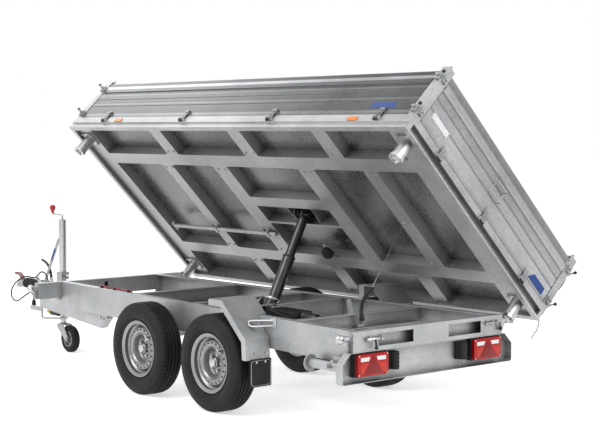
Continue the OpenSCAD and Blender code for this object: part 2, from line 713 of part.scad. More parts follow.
// Free lead from its gland round the coupling to the parked plug, as [x, y, height].
lead_d = 9;
lead_route = [[455, -104, 568], [425, -104, 568], [390, -105, 572], [350, -107, 576], [310, -109, 575], [270, -112, 570],
    [230, -115, 559], [192, -118, 544], [155, -120, 525], [120, -121, 502], [88, -122, 474], [64, -122, 442],
    [54, -121, 408], [64, -120, 378], [90, -118, 358], [124, -116, 352], [160, -114, 358], [195, -112, 371],
    [230, -110, 387], [265, -109, 404], [300, -108, 420], [335, -107, 433], [370, -106, 438], [398, -105, 430],
    [412, -105, 408], [412, -105, 382]];

function unit(v) = v / norm(v);
function ring(p, t, r, n) = let (a = unit(cross(t, [0, 1, 0.001])), b = cross(t, a))
    [for (k = [0:n - 1]) p + r * (cos(360 * k / n) * a + sin(360 * k / n) * b)];
function tangent(pts, i) = unit(pts[min(i + 1, len(pts) - 1)] - pts[max(i - 1, 0)]);

module tube(pts, d, n) {
    m = len(pts);
    points = [for (i = [0:m - 1]) each ring(pts[i], tangent(pts, i), d / 2, n)];
    faces = concat([[for (k = [0:n - 1]) k]], [for (i = [0:m - 2], k = [0:n - 1])
        [i * n + k, (i + 1) * n + k, (i + 1) * n + (k + 1) % n, i * n + (k + 1) % n]],
        [[for (k = [n - 1:-1:0]) (m - 1) * n + k]]);
    polyhedron(points, faces);
}

module lead() { color(black) stand() tube(lead_route, lead_d, 8); }

module lead_plug() {
    p = lead_route[len(lead_route) - 1];
    color(black) stand() {
        bar_z(p[2] - 70, p[2], p[0], p[1], 34);
        bar_z(p[2] - 84, p[2] - 70, p[0], p[1], plug_d);
    }
}

// Bed, drawn with the bed down

module bed_floor() {
    color(galv) tipped() box([bed_front + trim_t, trim_t - bed_half, floor_under], [bed_rear - trim_t, bed_half - trim_t, trim_top]);
}

// Outline of an edge trim, from its outer face inwards, with a step and a lower lip.
trim_section = [[-trim_t, 0], [-2, 0], [-2, 16], [-9, 20], [-9, 46], [0, 52], [0, trim_h], [-trim_t, trim_h]];
rear_section = [[-trim_t, 0], [0, 0], [0, 14], [4 - trim_t, 18], [4 - trim_t, 58], [0, 62], [0, trim_h], [-trim_t, trim_h]];
function trim_profile(s) = [for (p = trim_section) [s * (bed_half + p[0]), bed_h + p[1]]];

module bed_trim() {
    color(galv) tipped() {
        for (s = [-1, 1]) along(bed_front, bed_rear, trim_profile(s));
        for (s = [-1, 1]) {
            edge = s > 0 ? bed_rear : bed_front;
            inner = bed_half - trim_t - seat;
            across(-inner, inner, [for (p = s > 0 ? rear_section : trim_section) [edge + s * p[0], bed_h + p[1]]]);
        }
        for (h = side_hinges) both_sides() translate([bed_front + bed_l / 2 + h, bed_half, 0]) hinge_lugs();
        for (h = tail_hinges) translate([bed_rear, h, 0]) rotate([0, 0, -90]) hinge_lugs();
    }
}

// A channel open to the floor, as points of [across the channel, height].
function channel(w) = [[-w / 2, beam_z], [w / 2, beam_z], [w / 2, floor_under], [w / 2 - beam_t, floor_under],
    [w / 2 - beam_t, beam_z + beam_t], [beam_t - w / 2, beam_z + beam_t], [beam_t - w / 2, floor_under], [-w / 2, floor_under]];
end_frame_w = 170;
end_gap = 6;
long_x = [bed_front + trim_t + end_gap + end_frame_w + seat, bed_rear - trim_t - end_gap - end_frame_w - seat];

module bed_long_beams() {
    color(galv_bright) tipped() for (s = [-1, 1])
        along(long_x[0], long_x[1], [for (p = channel(beam_w)) [p[0] + s * beam_half, p[1]]]);
}

// End plate of a beam at x, wider below than the beam itself.
function flared(x, w) = [[x - w / 2 - 32, beam_z], [x + w / 2 + 32, beam_z], [x + w / 2 + 14, beam_z + 30], [x + w / 2 + 6, floor_under],
    [x - w / 2 - 6, floor_under], [x - w / 2 - 14, beam_z + 30]];

// Middle and width of the beams between the long beams, and of the ribs outside them.
inner_beams = [[bed_front + 915, 120], [ram_x - 542, 165], [ram_x + 433, 165], [bed_rear - 660, 130]];
outer_ribs = [[bed_front + 1105, 140], [ram_x - 57, 140], [bed_rear - 885, 140]];

module bed_cross_beams() {
    inner = beam_half - beam_w / 2 - seat;
    outer = [beam_half + beam_w / 2 + seat, bed_half - trim_t - seat];
    color(galv_bright) tipped() {
        for (row = inner_beams) across(-inner, inner, [for (p = channel(row[1])) [p[0] + row[0], p[1]]]);
        for (row = outer_ribs) both_sides() across(outer[0], outer[1], [for (p = channel(row[1])) [p[0] + row[0], p[1]]]);
        for (row = outer_ribs) both_sides() across(outer[0], outer[0] + beam_t, flared(row[0], row[1]));
        for (row = inner_beams) both_sides() across(inner - beam_t, inner, flared(row[0], row[1]));
        for (x = [long_x[0] - seat - end_frame_w / 2, long_x[1] + seat + end_frame_w / 2])
            across(-outer[1], outer[1], [for (p = channel(end_frame_w)) [p[0] + x, p[1]]]);
    }
}

// Outline of a gate in [depth, height]: two grooves, a projecting top band and a rounded top.
function gate_profile() = [[0, 0], [-side_t, 0], [-side_t, side_h], [-6, side_h], [-3, side_h - 4], [-3, side_h - 68], [4, side_h - 72],
    [4, side_h - 106], [-3, side_h - 112], [-3, side_h - 184], [-7, side_h - 188], [-3, side_h - 192], [-3, side_h - 262],
    [-7, side_h - 266], [-3, side_h - 270], [-3, 14], [0, 12]];
gate_z = trim_top + 3;
post_w = 62;
gate_gap = 6;

module front_wall() {
    color(galv_bright) tipped() across(post_w + seat - bed_half, bed_half - post_w - seat,
        [for (p = gate_profile()) [bed_front - p[0], gate_z - 3 + p[1]]]);
}

hinge_z = trim_top - 38;
knuckle_d = 18;
knuckle_w = 44;
hinge_pin_d = 10;

// The gate's part of a hinge: a bored knuckle on the pin, and the strap that goes up to the gate.
module hinge_strap() {
    difference() {
        union() {
            bar_x(-knuckle_w / 2, knuckle_w / 2, hinge_out, hinge_z, knuckle_d);
            box([-20, hinge_out - 8, hinge_z], [20, hinge_out - 3, gate_z + 50]);
            box([-20, -4, gate_z + 12], [20, hinge_out - 4, gate_z + 50]);
        }
        bar_x(-knuckle_w, knuckle_w, hinge_out, hinge_z, hinge_pin_d + 2 * seat);
    }
}

// The trim's part of a hinge: the pin between two lugs.
module hinge_lugs() {
    lug = [knuckle_w / 2 + 2, knuckle_w / 2 + 8];
    bar_x(-lug[1], lug[1], hinge_out, hinge_z, hinge_pin_d);
    for (s = [0, 1]) mirror([s, 0, 0]) {
        box([lug[0], -1, hinge_z - 16], [lug[1], hinge_out, hinge_z + 8]);
        bar_x(lug[0], lug[1], hinge_out, hinge_z, 16);
    }
}

// Hinge middles, measured from the gate's middle.
side_hinges = [-1483, -445, 567, 1627];
tail_hinges = [-560, 0, 560];

module side_gate() {
    x0 = bed_front + post_w + gate_gap;
    x1 = bed_rear - post_w - gate_gap;
    color(galv_bright) {
        along(x0, x1, [for (p = gate_profile()) [bed_half + p[0], gate_z + p[1]]]);
        for (h = side_hinges) translate([bed_front + bed_l / 2 + h, bed_half, 0]) hinge_strap();
    }
}

module side_left() { tipped() mirror([0, 1, 0]) side_gate(); }
module side_right() { tipped() side_gate(); }

module tailgate() {
    half = bed_half - post_w - gate_gap;
    color(galv_bright) tipped() {
        across(-half, half, [for (p = gate_profile()) [bed_rear + p[0], gate_z + p[1]]]);
        for (h = tail_hinges) translate([bed_rear, h, 0]) rotate([0, 0, -90]) hinge_strap();
    }
}

// Corner posts with a latch on each side, standing on the trim.
post_h = 425;
post_t = 6;

module corner_posts() {
    color(galv) tipped() for (sx = [-1, 1], sy = [-1, 1]) {
        x = sx > 0 ? bed_rear : bed_front;
        y = sy * bed_half;
        box([min(x, x - sx * post_w), min(y, y - sy * post_t), trim_top], [max(x, x - sx * post_w), max(y, y - sy * post_t), trim_top + post_h]);
        box([min(x, x - sx * post_t), min(y, y - sy * post_w), trim_top], [max(x, x - sx * post_t), max(y, y - sy * post_w), trim_top + post_h]);
        translate([x, y, 0]) mirror([sx > 0 ? 1 : 0, 0, 0]) mirror([0, sy > 0 ? 1 : 0, 0]) post_fittings();
    }
}

// Latches, eye and hook of a post whose corner edge is at the origin and whose walls run to +X and +Y.
module post_fittings() {
    top = trim_top + post_h;
    box([0, 0, top - 8], [post_w, post_w, top]);
    translate([post_w / 2, post_w / 2, top + 14]) rotate([90, 0, 0]) rotate_extrude() translate([15, 0]) circle(r = 4.5, $fn = 16);
    for (z = [trim_top + 46, trim_top + side_h - 60]) {
        box([12, -16, z - 24], [46, 1, z + 24]);
        bar_y(-34, 1, 29, z, 20);
        translate([29, -28, z]) rotate([0, 118, 0]) bar_x(-6, 6, 0, 0, 8);
        translate([29, -28, z]) rotate([0, 118, 0]) translate([-4, -4, -58]) cube([8, 8, 58]);
        box([-16, 12, z - 24], [1, 46, z + 24]);
        bar_x(-30, 1, 29, z, 18);
    }
}

// Cups that sit on the chassis balls, hung from the end frames.
cup_r = 42;
cup_x = [front_ball_x, rear_ball_x];

module ball_cups() {
    color(galv_bright) tipped() for (x = cup_x) both_sides() difference() {
        union() {
            bar_z(pivot_z + 2, beam_z - seat, x, pivot_y, 2 * cup_r);
            bar_z(pivot_z + 2, pivot_z + 22, x, pivot_y, 2 * cup_r + 14);
            box([x - 60, pivot_y - 60, beam_z - 10 - seat], [x + 60, pivot_y + 60, beam_z - seat]);
        }
        translate([x, pivot_y, pivot_z]) sphere(r = ball_r + 0.6);
        bar_y(pivot_y - 2 * cup_r, pivot_y, x, pivot_z, ball_pin_d + 12);
        bar_y(pivot_y - 2 * cup_r, pivot_y - cup_r + 2, x, pivot_z, ball_flange[0] + 8);
    }
}

// Bracket for the ram's head: two ears with long slots that leave the head pin its travel.
slot_travel = [-31, -17];
slot_d = 39;

module ram_bracket() {
    top = floor_under - seat;
    z0 = ram_head_z - 50;
    turn = atan2(slot_travel[1], slot_travel[0]);
    color(black) tipped() difference() {
        for (s = [-1, 1]) translate([ram_x + s * 42 - 6, ram_head_y, 0]) rotate([90, 0, 90]) linear_extrude(12)
            polygon([[-72, top], [-72, z0 + 24], [-48, z0], [22, z0], [44, z0 + 24], [60, top]]);
        translate([ram_x - 60, ram_head_y, ram_head_z]) rotate([90, 0, 90]) linear_extrude(120)
            rotate([0, 0, turn]) polygon([for (end = [0, 1], i = [0:12])
                [end * norm(slot_travel), 0] + slot_d / 2 * [cos(90 - end * 180 + i * 15), sin(90 - end * 180 + i * 15)]]);
    }
}

module stowed_bar() {
    z = beam_z - 16 - seat;
    color(galv) tipped() {
        bar_x(bed_front + 350, ram_x - 462, ram_head_y + 200, z, 32);
        bar_y(ram_head_y + 160, ram_head_y + 240, bed_front + 350, z, 26);
    }
}

module reflectors() {
    color(orange) tipped() for (x = [bed_front + 645, bed_rear - 530]) both_sides()
        box([x - 42, bed_half + seat, bed_h + 56], [x + 42, bed_half + 6, bed_h + 86]);
}

rail_left();
rail_right();
front_crossmember();
mid_crossmembers();
rear_crossmember();
drawbar();
overrun_device();
coupling_head();
handbrake();
jockey_post();
axle_beams();
swing_arms();
ram_cradle();
power_pack();
fenders();
mudflaps();
light_board();
tail_lamps();
bump_blocks();
support_legs();
tip_balls();
lead();
lead_plug();
jockey_fork();
jockey_rim();
jockey_tyre();
rim_front_left();
tyre_front_left();
rim_front_right();
tyre_front_right();
rim_rear_left();
tyre_rear_left();
rim_rear_right();
tyre_rear_right();
ram_barrel();
ram_stage();
ram_rod();
bed_floor();
bed_long_beams();
bed_cross_beams();
bed_trim();
front_wall();
corner_posts();
ball_cups();
ram_bracket();
stowed_bar();
reflectors();
side_left();
side_right();
tailgate();
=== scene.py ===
"""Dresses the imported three-way tipping trailer and sets the studio round it."""

import json
import logging
import math
from dataclasses import dataclass, field
from enum import Enum

import bmesh
import bpy
from mathutils import Matrix, Vector

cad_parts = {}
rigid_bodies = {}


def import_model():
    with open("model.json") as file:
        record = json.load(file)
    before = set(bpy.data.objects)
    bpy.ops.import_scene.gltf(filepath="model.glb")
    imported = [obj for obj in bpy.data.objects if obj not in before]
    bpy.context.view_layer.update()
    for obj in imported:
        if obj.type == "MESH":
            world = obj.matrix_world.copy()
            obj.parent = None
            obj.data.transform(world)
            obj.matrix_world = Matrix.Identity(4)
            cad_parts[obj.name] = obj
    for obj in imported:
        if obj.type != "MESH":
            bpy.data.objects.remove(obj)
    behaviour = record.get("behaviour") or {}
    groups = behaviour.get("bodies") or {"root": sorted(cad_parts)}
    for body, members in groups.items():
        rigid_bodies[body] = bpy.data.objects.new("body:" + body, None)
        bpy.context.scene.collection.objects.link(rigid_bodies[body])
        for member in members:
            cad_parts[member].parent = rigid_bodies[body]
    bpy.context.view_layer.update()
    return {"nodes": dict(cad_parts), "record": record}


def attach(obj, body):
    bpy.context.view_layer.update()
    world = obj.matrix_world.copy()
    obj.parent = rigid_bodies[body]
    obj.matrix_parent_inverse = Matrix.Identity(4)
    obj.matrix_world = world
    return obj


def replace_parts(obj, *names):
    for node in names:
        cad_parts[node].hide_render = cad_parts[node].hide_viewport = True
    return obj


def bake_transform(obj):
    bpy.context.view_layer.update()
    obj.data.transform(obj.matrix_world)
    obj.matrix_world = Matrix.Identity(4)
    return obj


# Short names of Blender's types
Tree = bpy.types.NodeTree
Node = bpy.types.Node
Socket = bpy.types.NodeSocket
Mesh = bpy.types.Mesh
Piece = bpy.types.Object

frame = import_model()

logging.basicConfig(level=logging.INFO, format="%(message)s")
LOG = logging.getLogger("tipper")

# The tipping angle and sizes shared with the part's source, in metres, heights from the ground up
BALL_HEIGHT = 0.47
TIP = math.radians(46.0)
PIVOT = (0.74, 0.61)
AXLES = (3.05, 3.88)
WHEEL_Y = 0.725
WHEEL_R = 0.325
BALL_X = (1.4675, 5.0975)
BED_FRONT = 1.34
BED_REAR = 5.2
BED_HALF = 0.895
TRIM_TOP = 0.85
BEAM_Z = 0.768
GATE_HEIGHT = 0.393
FRAME_START = 1.5
FRAME_RUN = 3.63
FRAME_START_HALF = 0.48
FRAME_WIDENING = 0.16

# The width of the camera's film, in millimetres
FILM_WIDTH = 36.0

# Depths and widths that the finishes share, in metres
EDGE_RADIUS = 0.003
# Reach of the shade painted into corners between pieces
PAINTED_SHADE_REACH = 0.07
CLOUD_BUMP = (0.12, 0.002)
GRAIN_HEIGHT = 0.0006


class Zone(Enum):
    """Where a shape is drawn before it is placed."""

    STANDING = "standing"
    BED = "bed"


class Axis(Enum):
    """The axis that an outline is extruded along, with the places of its own two numbers."""

    X = (1, 2, 0)
    Y = (0, 2, 1)
    Z = (0, 1, 2)


def turned(direction: Vector, zone: Zone) -> Vector:
    """Turns a direction with the raised bed.

    Args:
        direction: The direction as drawn.
        zone: BED turns it, STANDING leaves it.

    Returns:
        The direction in the coupling's frame.
    """
    if zone is Zone.STANDING:
        return Vector(direction)
    return Matrix.Rotation(-TIP, 3, "X") @ Vector(direction)


def placed(point: Vector, zone: Zone) -> Vector:
    """Moves a point drawn above the ground into the coupling's frame.

    Args:
        point: Place in metres, with Z as the height above the ground.
        zone: BED turns the point with the raised bed, STANDING leaves it.

    Returns:
        The place in the coupling's frame.
    """
    pivot = Vector((0.0, *PIVOT)) if zone is Zone.BED else Vector()
    return pivot + turned(Vector(point) - pivot, zone) - Vector((0.0, 0.0, BALL_HEIGHT))


def frame_half(x: float) -> float:
    """Gives half the chassis width at a place along it.

    Args:
        x: The place along the trailer.

    Returns:
        Half the width at that place.
    """
    return FRAME_START_HALF + FRAME_WIDENING * (x - FRAME_START) / FRAME_RUN


def smooth_path(points: list, steps: int = 4) -> list:
    """Runs a smooth curve through points.

    Args:
        points: The points that the curve passes.
        steps: Pieces between two points.

    Returns:
        The curve's points.
    """
    known = [Vector(point) for point in points]
    ends = [2 * known[0] - known[1], *known, 2 * known[-1] - known[-2]]
    path = []
    for a, b, c, d in zip(ends, ends[1:], ends[2:], ends[3:]):
        for step in range(steps):
            t = step / steps
            path.append(0.5 * (2 * b + (c - a) * t + (2 * a - 5 * b + 4 * c - d) * t ** 2
                               + (3 * b - a - 3 * c + d) * t ** 3))
    return [*path, known[-1]]


def round_section(radius: float, sides: int = 12) -> list:
    """Gives the corners of a round section.

    Args:
        radius: The section's radius.
        sides: How many corners it has.

    Returns:
        The corners, each as two numbers.
    """
    angles = [math.tau * i / sides for i in range(sides)]
    return [(radius * math.cos(angle), radius * math.sin(angle)) for angle in angles]


def flat_section(width: float, height: float, corner: float) -> list:
    """Gives the corners of a flat bar's section with cut edges.

    Args:
        width: The bar's width.
        height: The bar's thickness.
        corner: How much is cut off each edge.

    Returns:
        The eight corners.
    """
    a = width / 2
    b = height / 2
    return [(a, corner - b), (a, b - corner), (a - corner, b), (corner - a, b), (-a, b - corner),
        (-a, corner - b), (corner - a, -b), (a - corner, -b)]


def round_corners(a: float, b: float, radius: float, steps: int = 5) -> list:
    """Gives the outline of a rectangle with round corners.

    Args:
        a: Half its width.
        b: Half its height.
        radius: Radius of the corners.
        steps: Points on each corner.

    Returns:
        The outline's points.
    """
    points = []
    for number, (sa, sb) in enumerate(((1, 1), (-1, 1), (-1, -1), (1, -1))):
        for step in range(steps):
            angle = math.pi / 2 * (number + step / (steps - 1))
            points.append((sa * (a - radius) + radius * math.cos(angle),
                sb * (b - radius) + radius * math.sin(angle)))
    return points


def smoothed_mesh(shape: bmesh.types.BMesh, name: str, finish: str, angle: float = 35.0) -> Mesh:
    """Closes a shape's seams, points its faces outwards and makes it a mesh.

    Args:
        shape: The shape, which is freed.
        name: The mesh's name.
        finish: Name of its finish.
        angle: Edges sharper than this many degrees stay sharp.

    Returns:
        The mesh.
    """
    bmesh.ops.remove_doubles(shape, verts=shape.verts, dist=1e-6)
    bmesh.ops.recalc_face_normals(shape, faces=shape.faces)
    for face in shape.faces:
        face.smooth = True
    for edge in shape.edges:
        edge.smooth = edge.calc_face_angle(0.0) < math.radians(angle)
    mesh = bpy.data.meshes.new(name)
    shape.to_mesh(mesh)
    shape.free()
    mesh.materials.append(MATERIALS[finish])
    return mesh


def riding(mesh: Mesh, name: str, body: str) -> Piece:
    """Makes an object of a mesh and lets it ride on a body.

    Args:
        mesh: The mesh, in the coupling's frame.
        name: The piece's name.
        body: The body that carries it.

    Returns:
        The piece.
    """
    piece = bpy.data.objects.new(name, mesh)
    bpy.context.scene.collection.objects.link(piece)
    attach(piece, body)
    return piece


class Sketch:
    """Collects closed shapes, drawn above the ground, into one piece."""

    def __init__(self, name: str, finish: str, zone: Zone = Zone.STANDING) -> None:
        """Starts an empty sketch.

        Args:
            name: The piece's name.
            finish: Name of its finish.
            zone: Where its shapes are drawn.
        """
        self.name = name
        self.finish = finish
        self.zone = zone
        self.shape = bmesh.new()

    def rings(self, rings: list, looped: bool = False) -> None:
        """Joins rings of points by faces.

        Args:
            rings: Lists of points of the same length.
            looped: Joins the last ring to the first instead of capping both.
        """
        rows = [[self.shape.verts.new(point) for point in ring] for ring in rings]
        pairs = list(zip(rows, rows[1:]))
        if looped:
            pairs.append((rows[-1], rows[0]))
        count = len(rows[0])
        for low, high in pairs:
            for i in range(count):
                j = (i + 1) % count
                self.shape.faces.new((low[i], low[j], high[j], high[i]))
        if not looped:
            self.shape.faces.new(rows[0])
            self.shape.faces.new(rows[-1])

    def lathe(self, origin: tuple, axis: tuple, profile: list, sides: int = 32, looped: bool = False) -> None:
        """Turns a profile round an axis.

        Args:
            origin: The point that the profile is measured from.
            axis: Direction of the axis.
            profile: Pairs of a distance along the axis and a radius.
            sides: Number of sides.
            looped: The profile is a closed section, as of a ring.
        """
        turn = Vector((0.0, 0.0, 1.0)).rotation_difference(Vector(axis))
        start = Vector(origin)
        rings = []
        for along, radius in profile:
            rings.append([start + turn @ Vector((a, b, along)) for a, b in round_section(radius, sides)])
        self.rings(rings, looped)

    def swept(self, path: list, section: list, up: tuple = (0.0, 0.0, 1.0), looped: bool = False,
              scales: list | None = None) -> None:
        """Sweeps a section along a path.

        Args:
            path: The path's points.
            section: The section's corners, sideways and upwards.
            up: Direction that the section's height follows at the start.
            looped: Joins the path's end to its start.
            scales: Size of the section at each point.
        """
        points = [Vector(point) for point in path]
        last = len(points) - 1
        side = None
        rings = []
        for i, point in enumerate(points):
            if looped:
                ahead = (points[(i + 1) % len(points)] - points[i - 1]).normalized()
            else:
                ahead = (points[min(i + 1, last)] - points[max(i - 1, 0)]).normalized()
            if side is None:
                side = ahead.cross(Vector(up))
                if side.length < 0.02:
                    side = ahead.cross(Vector((1.0, 0.0, 0.0)))
                side.normalize()
            else:
                side = (side - ahead * side.dot(ahead)).normalized()
            high = side.cross(ahead)
            scale = scales[i] if scales else 1.0
            rings.append([point + (side * a + high * b) * scale for a, b in section])
        self.rings(rings, looped)

    def tube(self, path: list, radius: float, sides: int = 12) -> None:
        """Sweeps a round bar along a path.

        Args:
            path: The points of its middle line.
            radius: The bar's radius.
            sides: How many sides the bar is drawn with.
        """
        self.swept(path, round_section(radius, sides))

    def prism(self, outline: list, axis: Axis, start: float, end: float, bevel: float = 0.0) -> None:
        """Extrudes an outline along an axis.

        Args:
            outline: The outline's two numbers for each corner.
            axis: The axis to extrude along.
            start: Low end on that axis.
            end: High end on that axis.
            bevel: Width of the rounded edges.
        """
        first, second, third = axis.value
        before = set(self.shape.edges)
        rings = []
        for level in (start, end):
            ring = []
            for a, b in outline:
                point = [0.0, 0.0, 0.0]
                point[first] = a
                point[second] = b
                point[third] = level
                ring.append(point)
            rings.append(ring)
        self.rings(rings)
        if bevel > 0.0:
            edges = [edge for edge in self.shape.edges if edge not in before]
            bmesh.ops.bevel(self.shape, geom=edges, offset=bevel, segments=2, profile=0.6, affect="EDGES",
                clamp_overlap=True)

    def block(self, low: tuple, high: tuple, bevel: float = 0.0) -> None:
        """Adds a box with rounded edges between two corners.

        Args:
            low: The corner with the smallest numbers.
            high: The corner with the largest numbers.
            bevel: The edges' radius.
        """
        outline = [(low[0], low[1]), (high[0], low[1]), (high[0], high[1]), (low[0], high[1])]
        self.prism(outline, Axis.Z, low[2], high[2], bevel)

    def ready(self, body: str, slot: str = "", angle: float = 35.0) -> Piece:
        """Places the sketch and makes it a piece.

        Args:
            body: The body that carries it.
            slot: The record's material slot, if one fits; it is not used.
            angle: Edges sharper than this many degrees stay sharp.

        Returns:
            The piece.
        """
        for vert in self.shape.verts:
            vert.co = placed(vert.co, self.zone)
        return riding(smoothed_mesh(self.shape, self.name, self.finish, angle), self.name, body)


# Nodes of both kinds


def joined(tree: Tree, kind: str, values: dict, links: dict) -> Node:
    """Adds a node, sets its values and links its inputs.

    Args:
        tree: The node tree that gets the node.
        kind: The node's type name.
        values: Attributes or socket values by name or index.
        links: Output sockets, or lists of them, by the name or index of the input that they feed.

    Returns:
        The new node.
    """
    node = tree.nodes.new(kind)
    for key, value in values.items():
        if isinstance(key, str) and hasattr(node, key) and key not in node.inputs:
            setattr(node, key, value)
        else:
            node.inputs[key].default_value = value
    for key, sockets in links.items():
        for socket in sockets if isinstance(sockets, list) else [sockets]:
            tree.links.new(socket, node.inputs[key])
    return node


def reckoned(tree: Tree, operation: str, *terms: Socket | float, clamp: bool = False) -> Socket:
    """Reckons with sockets and numbers.

    Args:
        tree: The node tree.
        operation: Name of the Math node's operation.
        *terms: The terms in their order, each a socket or a number.
        clamp: Keeps the result between 0 and 1.

    Returns:
        The result's socket.
    """
    node = tree.nodes.new("ShaderNodeMath")
    node.operation = operation
    node.use_clamp = clamp
    for slot, term in zip(node.inputs, terms):
        if isinstance(term, float):
            slot.default_value = term
        else:
            tree.links.new(term, slot)
    return node.outputs[0]


# Geometry Nodes trees


def tree_with(name: str, inputs: list) -> tuple:
    """Makes a Geometry Nodes tree with named inputs.

    Args:
        name: The tree's name.
        inputs: Pairs of an input's name and its kind, such as Float.

    Returns:
        The tree and its input node.
    """
    tree = bpy.data.node_groups.new(name, "GeometryNodeTree")
    for title, kind in [("Shape", "Geometry"), *inputs, ("Finish", "Material")]:
        tree.interface.new_socket(title, in_out="INPUT", socket_type=f"NodeSocket{kind}")
    tree.interface.new_socket("Shape", in_out="OUTPUT", socket_type="NodeSocketGeometry")
    return tree, tree.nodes.new("NodeGroupInput")


def close_tree(tree: Tree, given: Node, shape: Socket) -> Tree:
    """Ends a tree in Realize Instances and Set Material.

    Args:
        tree: The tree.
        given: Its input node.
        shape: The shape that it has made.

    Returns:
        The tree.
    """
    real = joined(tree, "GeometryNodeRealizeInstances", {}, {"Geometry": shape})
    coated = joined(tree, "GeometryNodeSetMaterial", {}, {"Geometry": real.outputs[0],
        "Material": given.outputs["Finish"]})
    joined(tree, "NodeGroupOutput", {}, {0: coated.outputs[0]})
    return tree


def bolt_tree() -> Tree:
    """Makes the tree that sets a six-sided head on a washer at each point.

    Returns:
        The tree, which reads the points' attributes facing and size.
    """
    tree, given = tree_with("headed_bolts", [("Head Width", "Float"), ("Head Height", "Float"),
        ("Washer", "Float"), ("Seed", "Int")])
    half = reckoned(tree, "MULTIPLY", given.outputs["Head Width"], 0.5)
    lift = reckoned(tree, "MULTIPLY_ADD", given.outputs["Head Height"], 0.5, 0.002)
    place = joined(tree, "ShaderNodeCombineXYZ", {}, {"Z": lift})
    head = joined(tree, "GeometryNodeMeshCylinder", {0: 6}, {"Radius": half,
        "Depth": given.outputs["Head Height"]})
    risen = joined(tree, "GeometryNodeTransform", {}, {"Geometry": head.outputs[0],
        "Translation": place.outputs[0]})
    stud = reckoned(tree, "MULTIPLY", given.outputs["Head Width"], 0.27)
    end = reckoned(tree, "MULTIPLY_ADD", given.outputs["Head Height"], 2.6, 0.002)
    thread = joined(tree, "GeometryNodeMeshCylinder", {0: 10}, {"Radius": stud, "Depth": end})
    washer = joined(tree, "GeometryNodeMeshCylinder", {0: 16, 4: 0.004}, {"Radius": given.outputs["Washer"]})
    bolt = joined(tree, "GeometryNodeJoinGeometry", {}, {"Geometry": [risen.outputs[0], thread.outputs[0],
        washer.outputs[0]]})
    facing = joined(tree, "GeometryNodeInputNamedAttribute", {"data_type": "FLOAT_VECTOR", 0: "facing"}, {})
    size = joined(tree, "GeometryNodeInputNamedAttribute", {"data_type": "FLOAT", 0: "size"}, {})
    aimed = joined(tree, "FunctionNodeAlignRotationToVector", {"axis": "Z"}, {"Vector": facing.outputs[0]})
    turn = joined(tree, "FunctionNodeRandomValue", {"data_type": "FLOAT", 2: 0.0, 3: 1.047},
        {"Seed": given.outputs["Seed"]})
    spin = joined(tree, "ShaderNodeCombineXYZ", {}, {"Z": turn.outputs[1]})
    spun = joined(tree, "FunctionNodeEulerToRotation", {}, {"Euler": spin.outputs[0]})
    final = joined(tree, "FunctionNodeRotateRotation", {"rotation_space": "LOCAL"},
        {"Rotation": aimed.outputs[0], "Rotate By": spun.outputs[0]})
    many = joined(tree, "GeometryNodeInstanceOnPoints", {}, {"Points": given.outputs["Shape"],
        "Instance": bolt.outputs[0], "Rotation": final.outputs[0], "Scale": size.outputs[0]})
    return close_tree(tree, given, many.outputs[0])


def round_tree() -> Tree:
    """Makes the tree that repeats a shape round the Y axis.

    Returns:
        The tree.
    """
    tree, given = tree_with("repeated_round", [("Count", "Int")])
    points = joined(tree, "GeometryNodePoints", {}, {"Count": given.outputs["Count"]})
    index = tree.nodes.new("GeometryNodeInputIndex")
    share = reckoned(tree, "DIVIDE", index.outputs[0], given.outputs["Count"])
    angle = reckoned(tree, "MULTIPLY", share, math.tau)
    spin = joined(tree, "ShaderNodeCombineXYZ", {}, {"Y": angle})
    spun = joined(tree, "FunctionNodeEulerToRotation", {}, {"Euler": spin.outputs[0]})
    many = joined(tree, "GeometryNodeInstanceOnPoints", {}, {"Points": points.outputs[0],
        "Instance": given.outputs["Shape"], "Rotation": spun.outputs[0]})
    return close_tree(tree, given, many.outputs[0])


def hose_tree() -> Tree:
    """Makes the tree that turns a line into a ribbed hose.

    Returns:
        The tree.
    """
    tree, given = tree_with("ribbed_hose", [("Radius", "Float"), ("Rib Height", "Float"), ("Points", "Int")])
    curve = joined(tree, "GeometryNodeMeshToCurve", {}, {"Mesh": given.outputs["Shape"]})
    even = joined(tree, "GeometryNodeResampleCurve", {}, {"Curve": curve.outputs[0],
        "Count": given.outputs["Points"]})
    index = tree.nodes.new("GeometryNodeInputIndex")
    fourth = reckoned(tree, "MULTIPLY", index.outputs[0], 0.25)
    part = reckoned(tree, "FRACT", fourth)
    crest = reckoned(tree, "GREATER_THAN", part, 0.4)
    width = reckoned(tree, "MULTIPLY_ADD", crest, given.outputs["Rib Height"], given.outputs["Radius"])
    ring = joined(tree, "GeometryNodeCurvePrimitiveCircle", {0: 16, 4: 1.0}, {})
    skin = joined(tree, "GeometryNodeCurveToMesh", {3: True}, {"Curve": even.outputs[0],
        "Profile Curve": ring.outputs[0], "Scale": width})
    return close_tree(tree, given, skin.outputs[0])


def grown(tree: Tree, mesh: Mesh, inputs: dict) -> Mesh:
    """Runs a Geometry Nodes tree on a mesh and gives the plain result.

    Args:
        tree: The tree.
        mesh: The mesh that it starts from.
        inputs: Values by the input's name.

    Returns:
        The new mesh.
    """
    carrier = bpy.data.objects.new("carrier", mesh)
    bpy.context.scene.collection.objects.link(carrier)
    modifier = carrier.modifiers.new("grown", "NODES")
    modifier.node_group = tree
    for item in tree.interface.items_tree:
        if item.in_out == "INPUT" and item.name in inputs:
            modifier[item.identifier] = inputs[item.name]
    bpy.context.view_layer.update()
    made = bpy.data.meshes.new_from_object(carrier.evaluated_get(bpy.context.evaluated_depsgraph_get()))
    carrier.modifiers.remove(modifier)
    bpy.data.objects.remove(carrier)
    return made


# Shader node groups


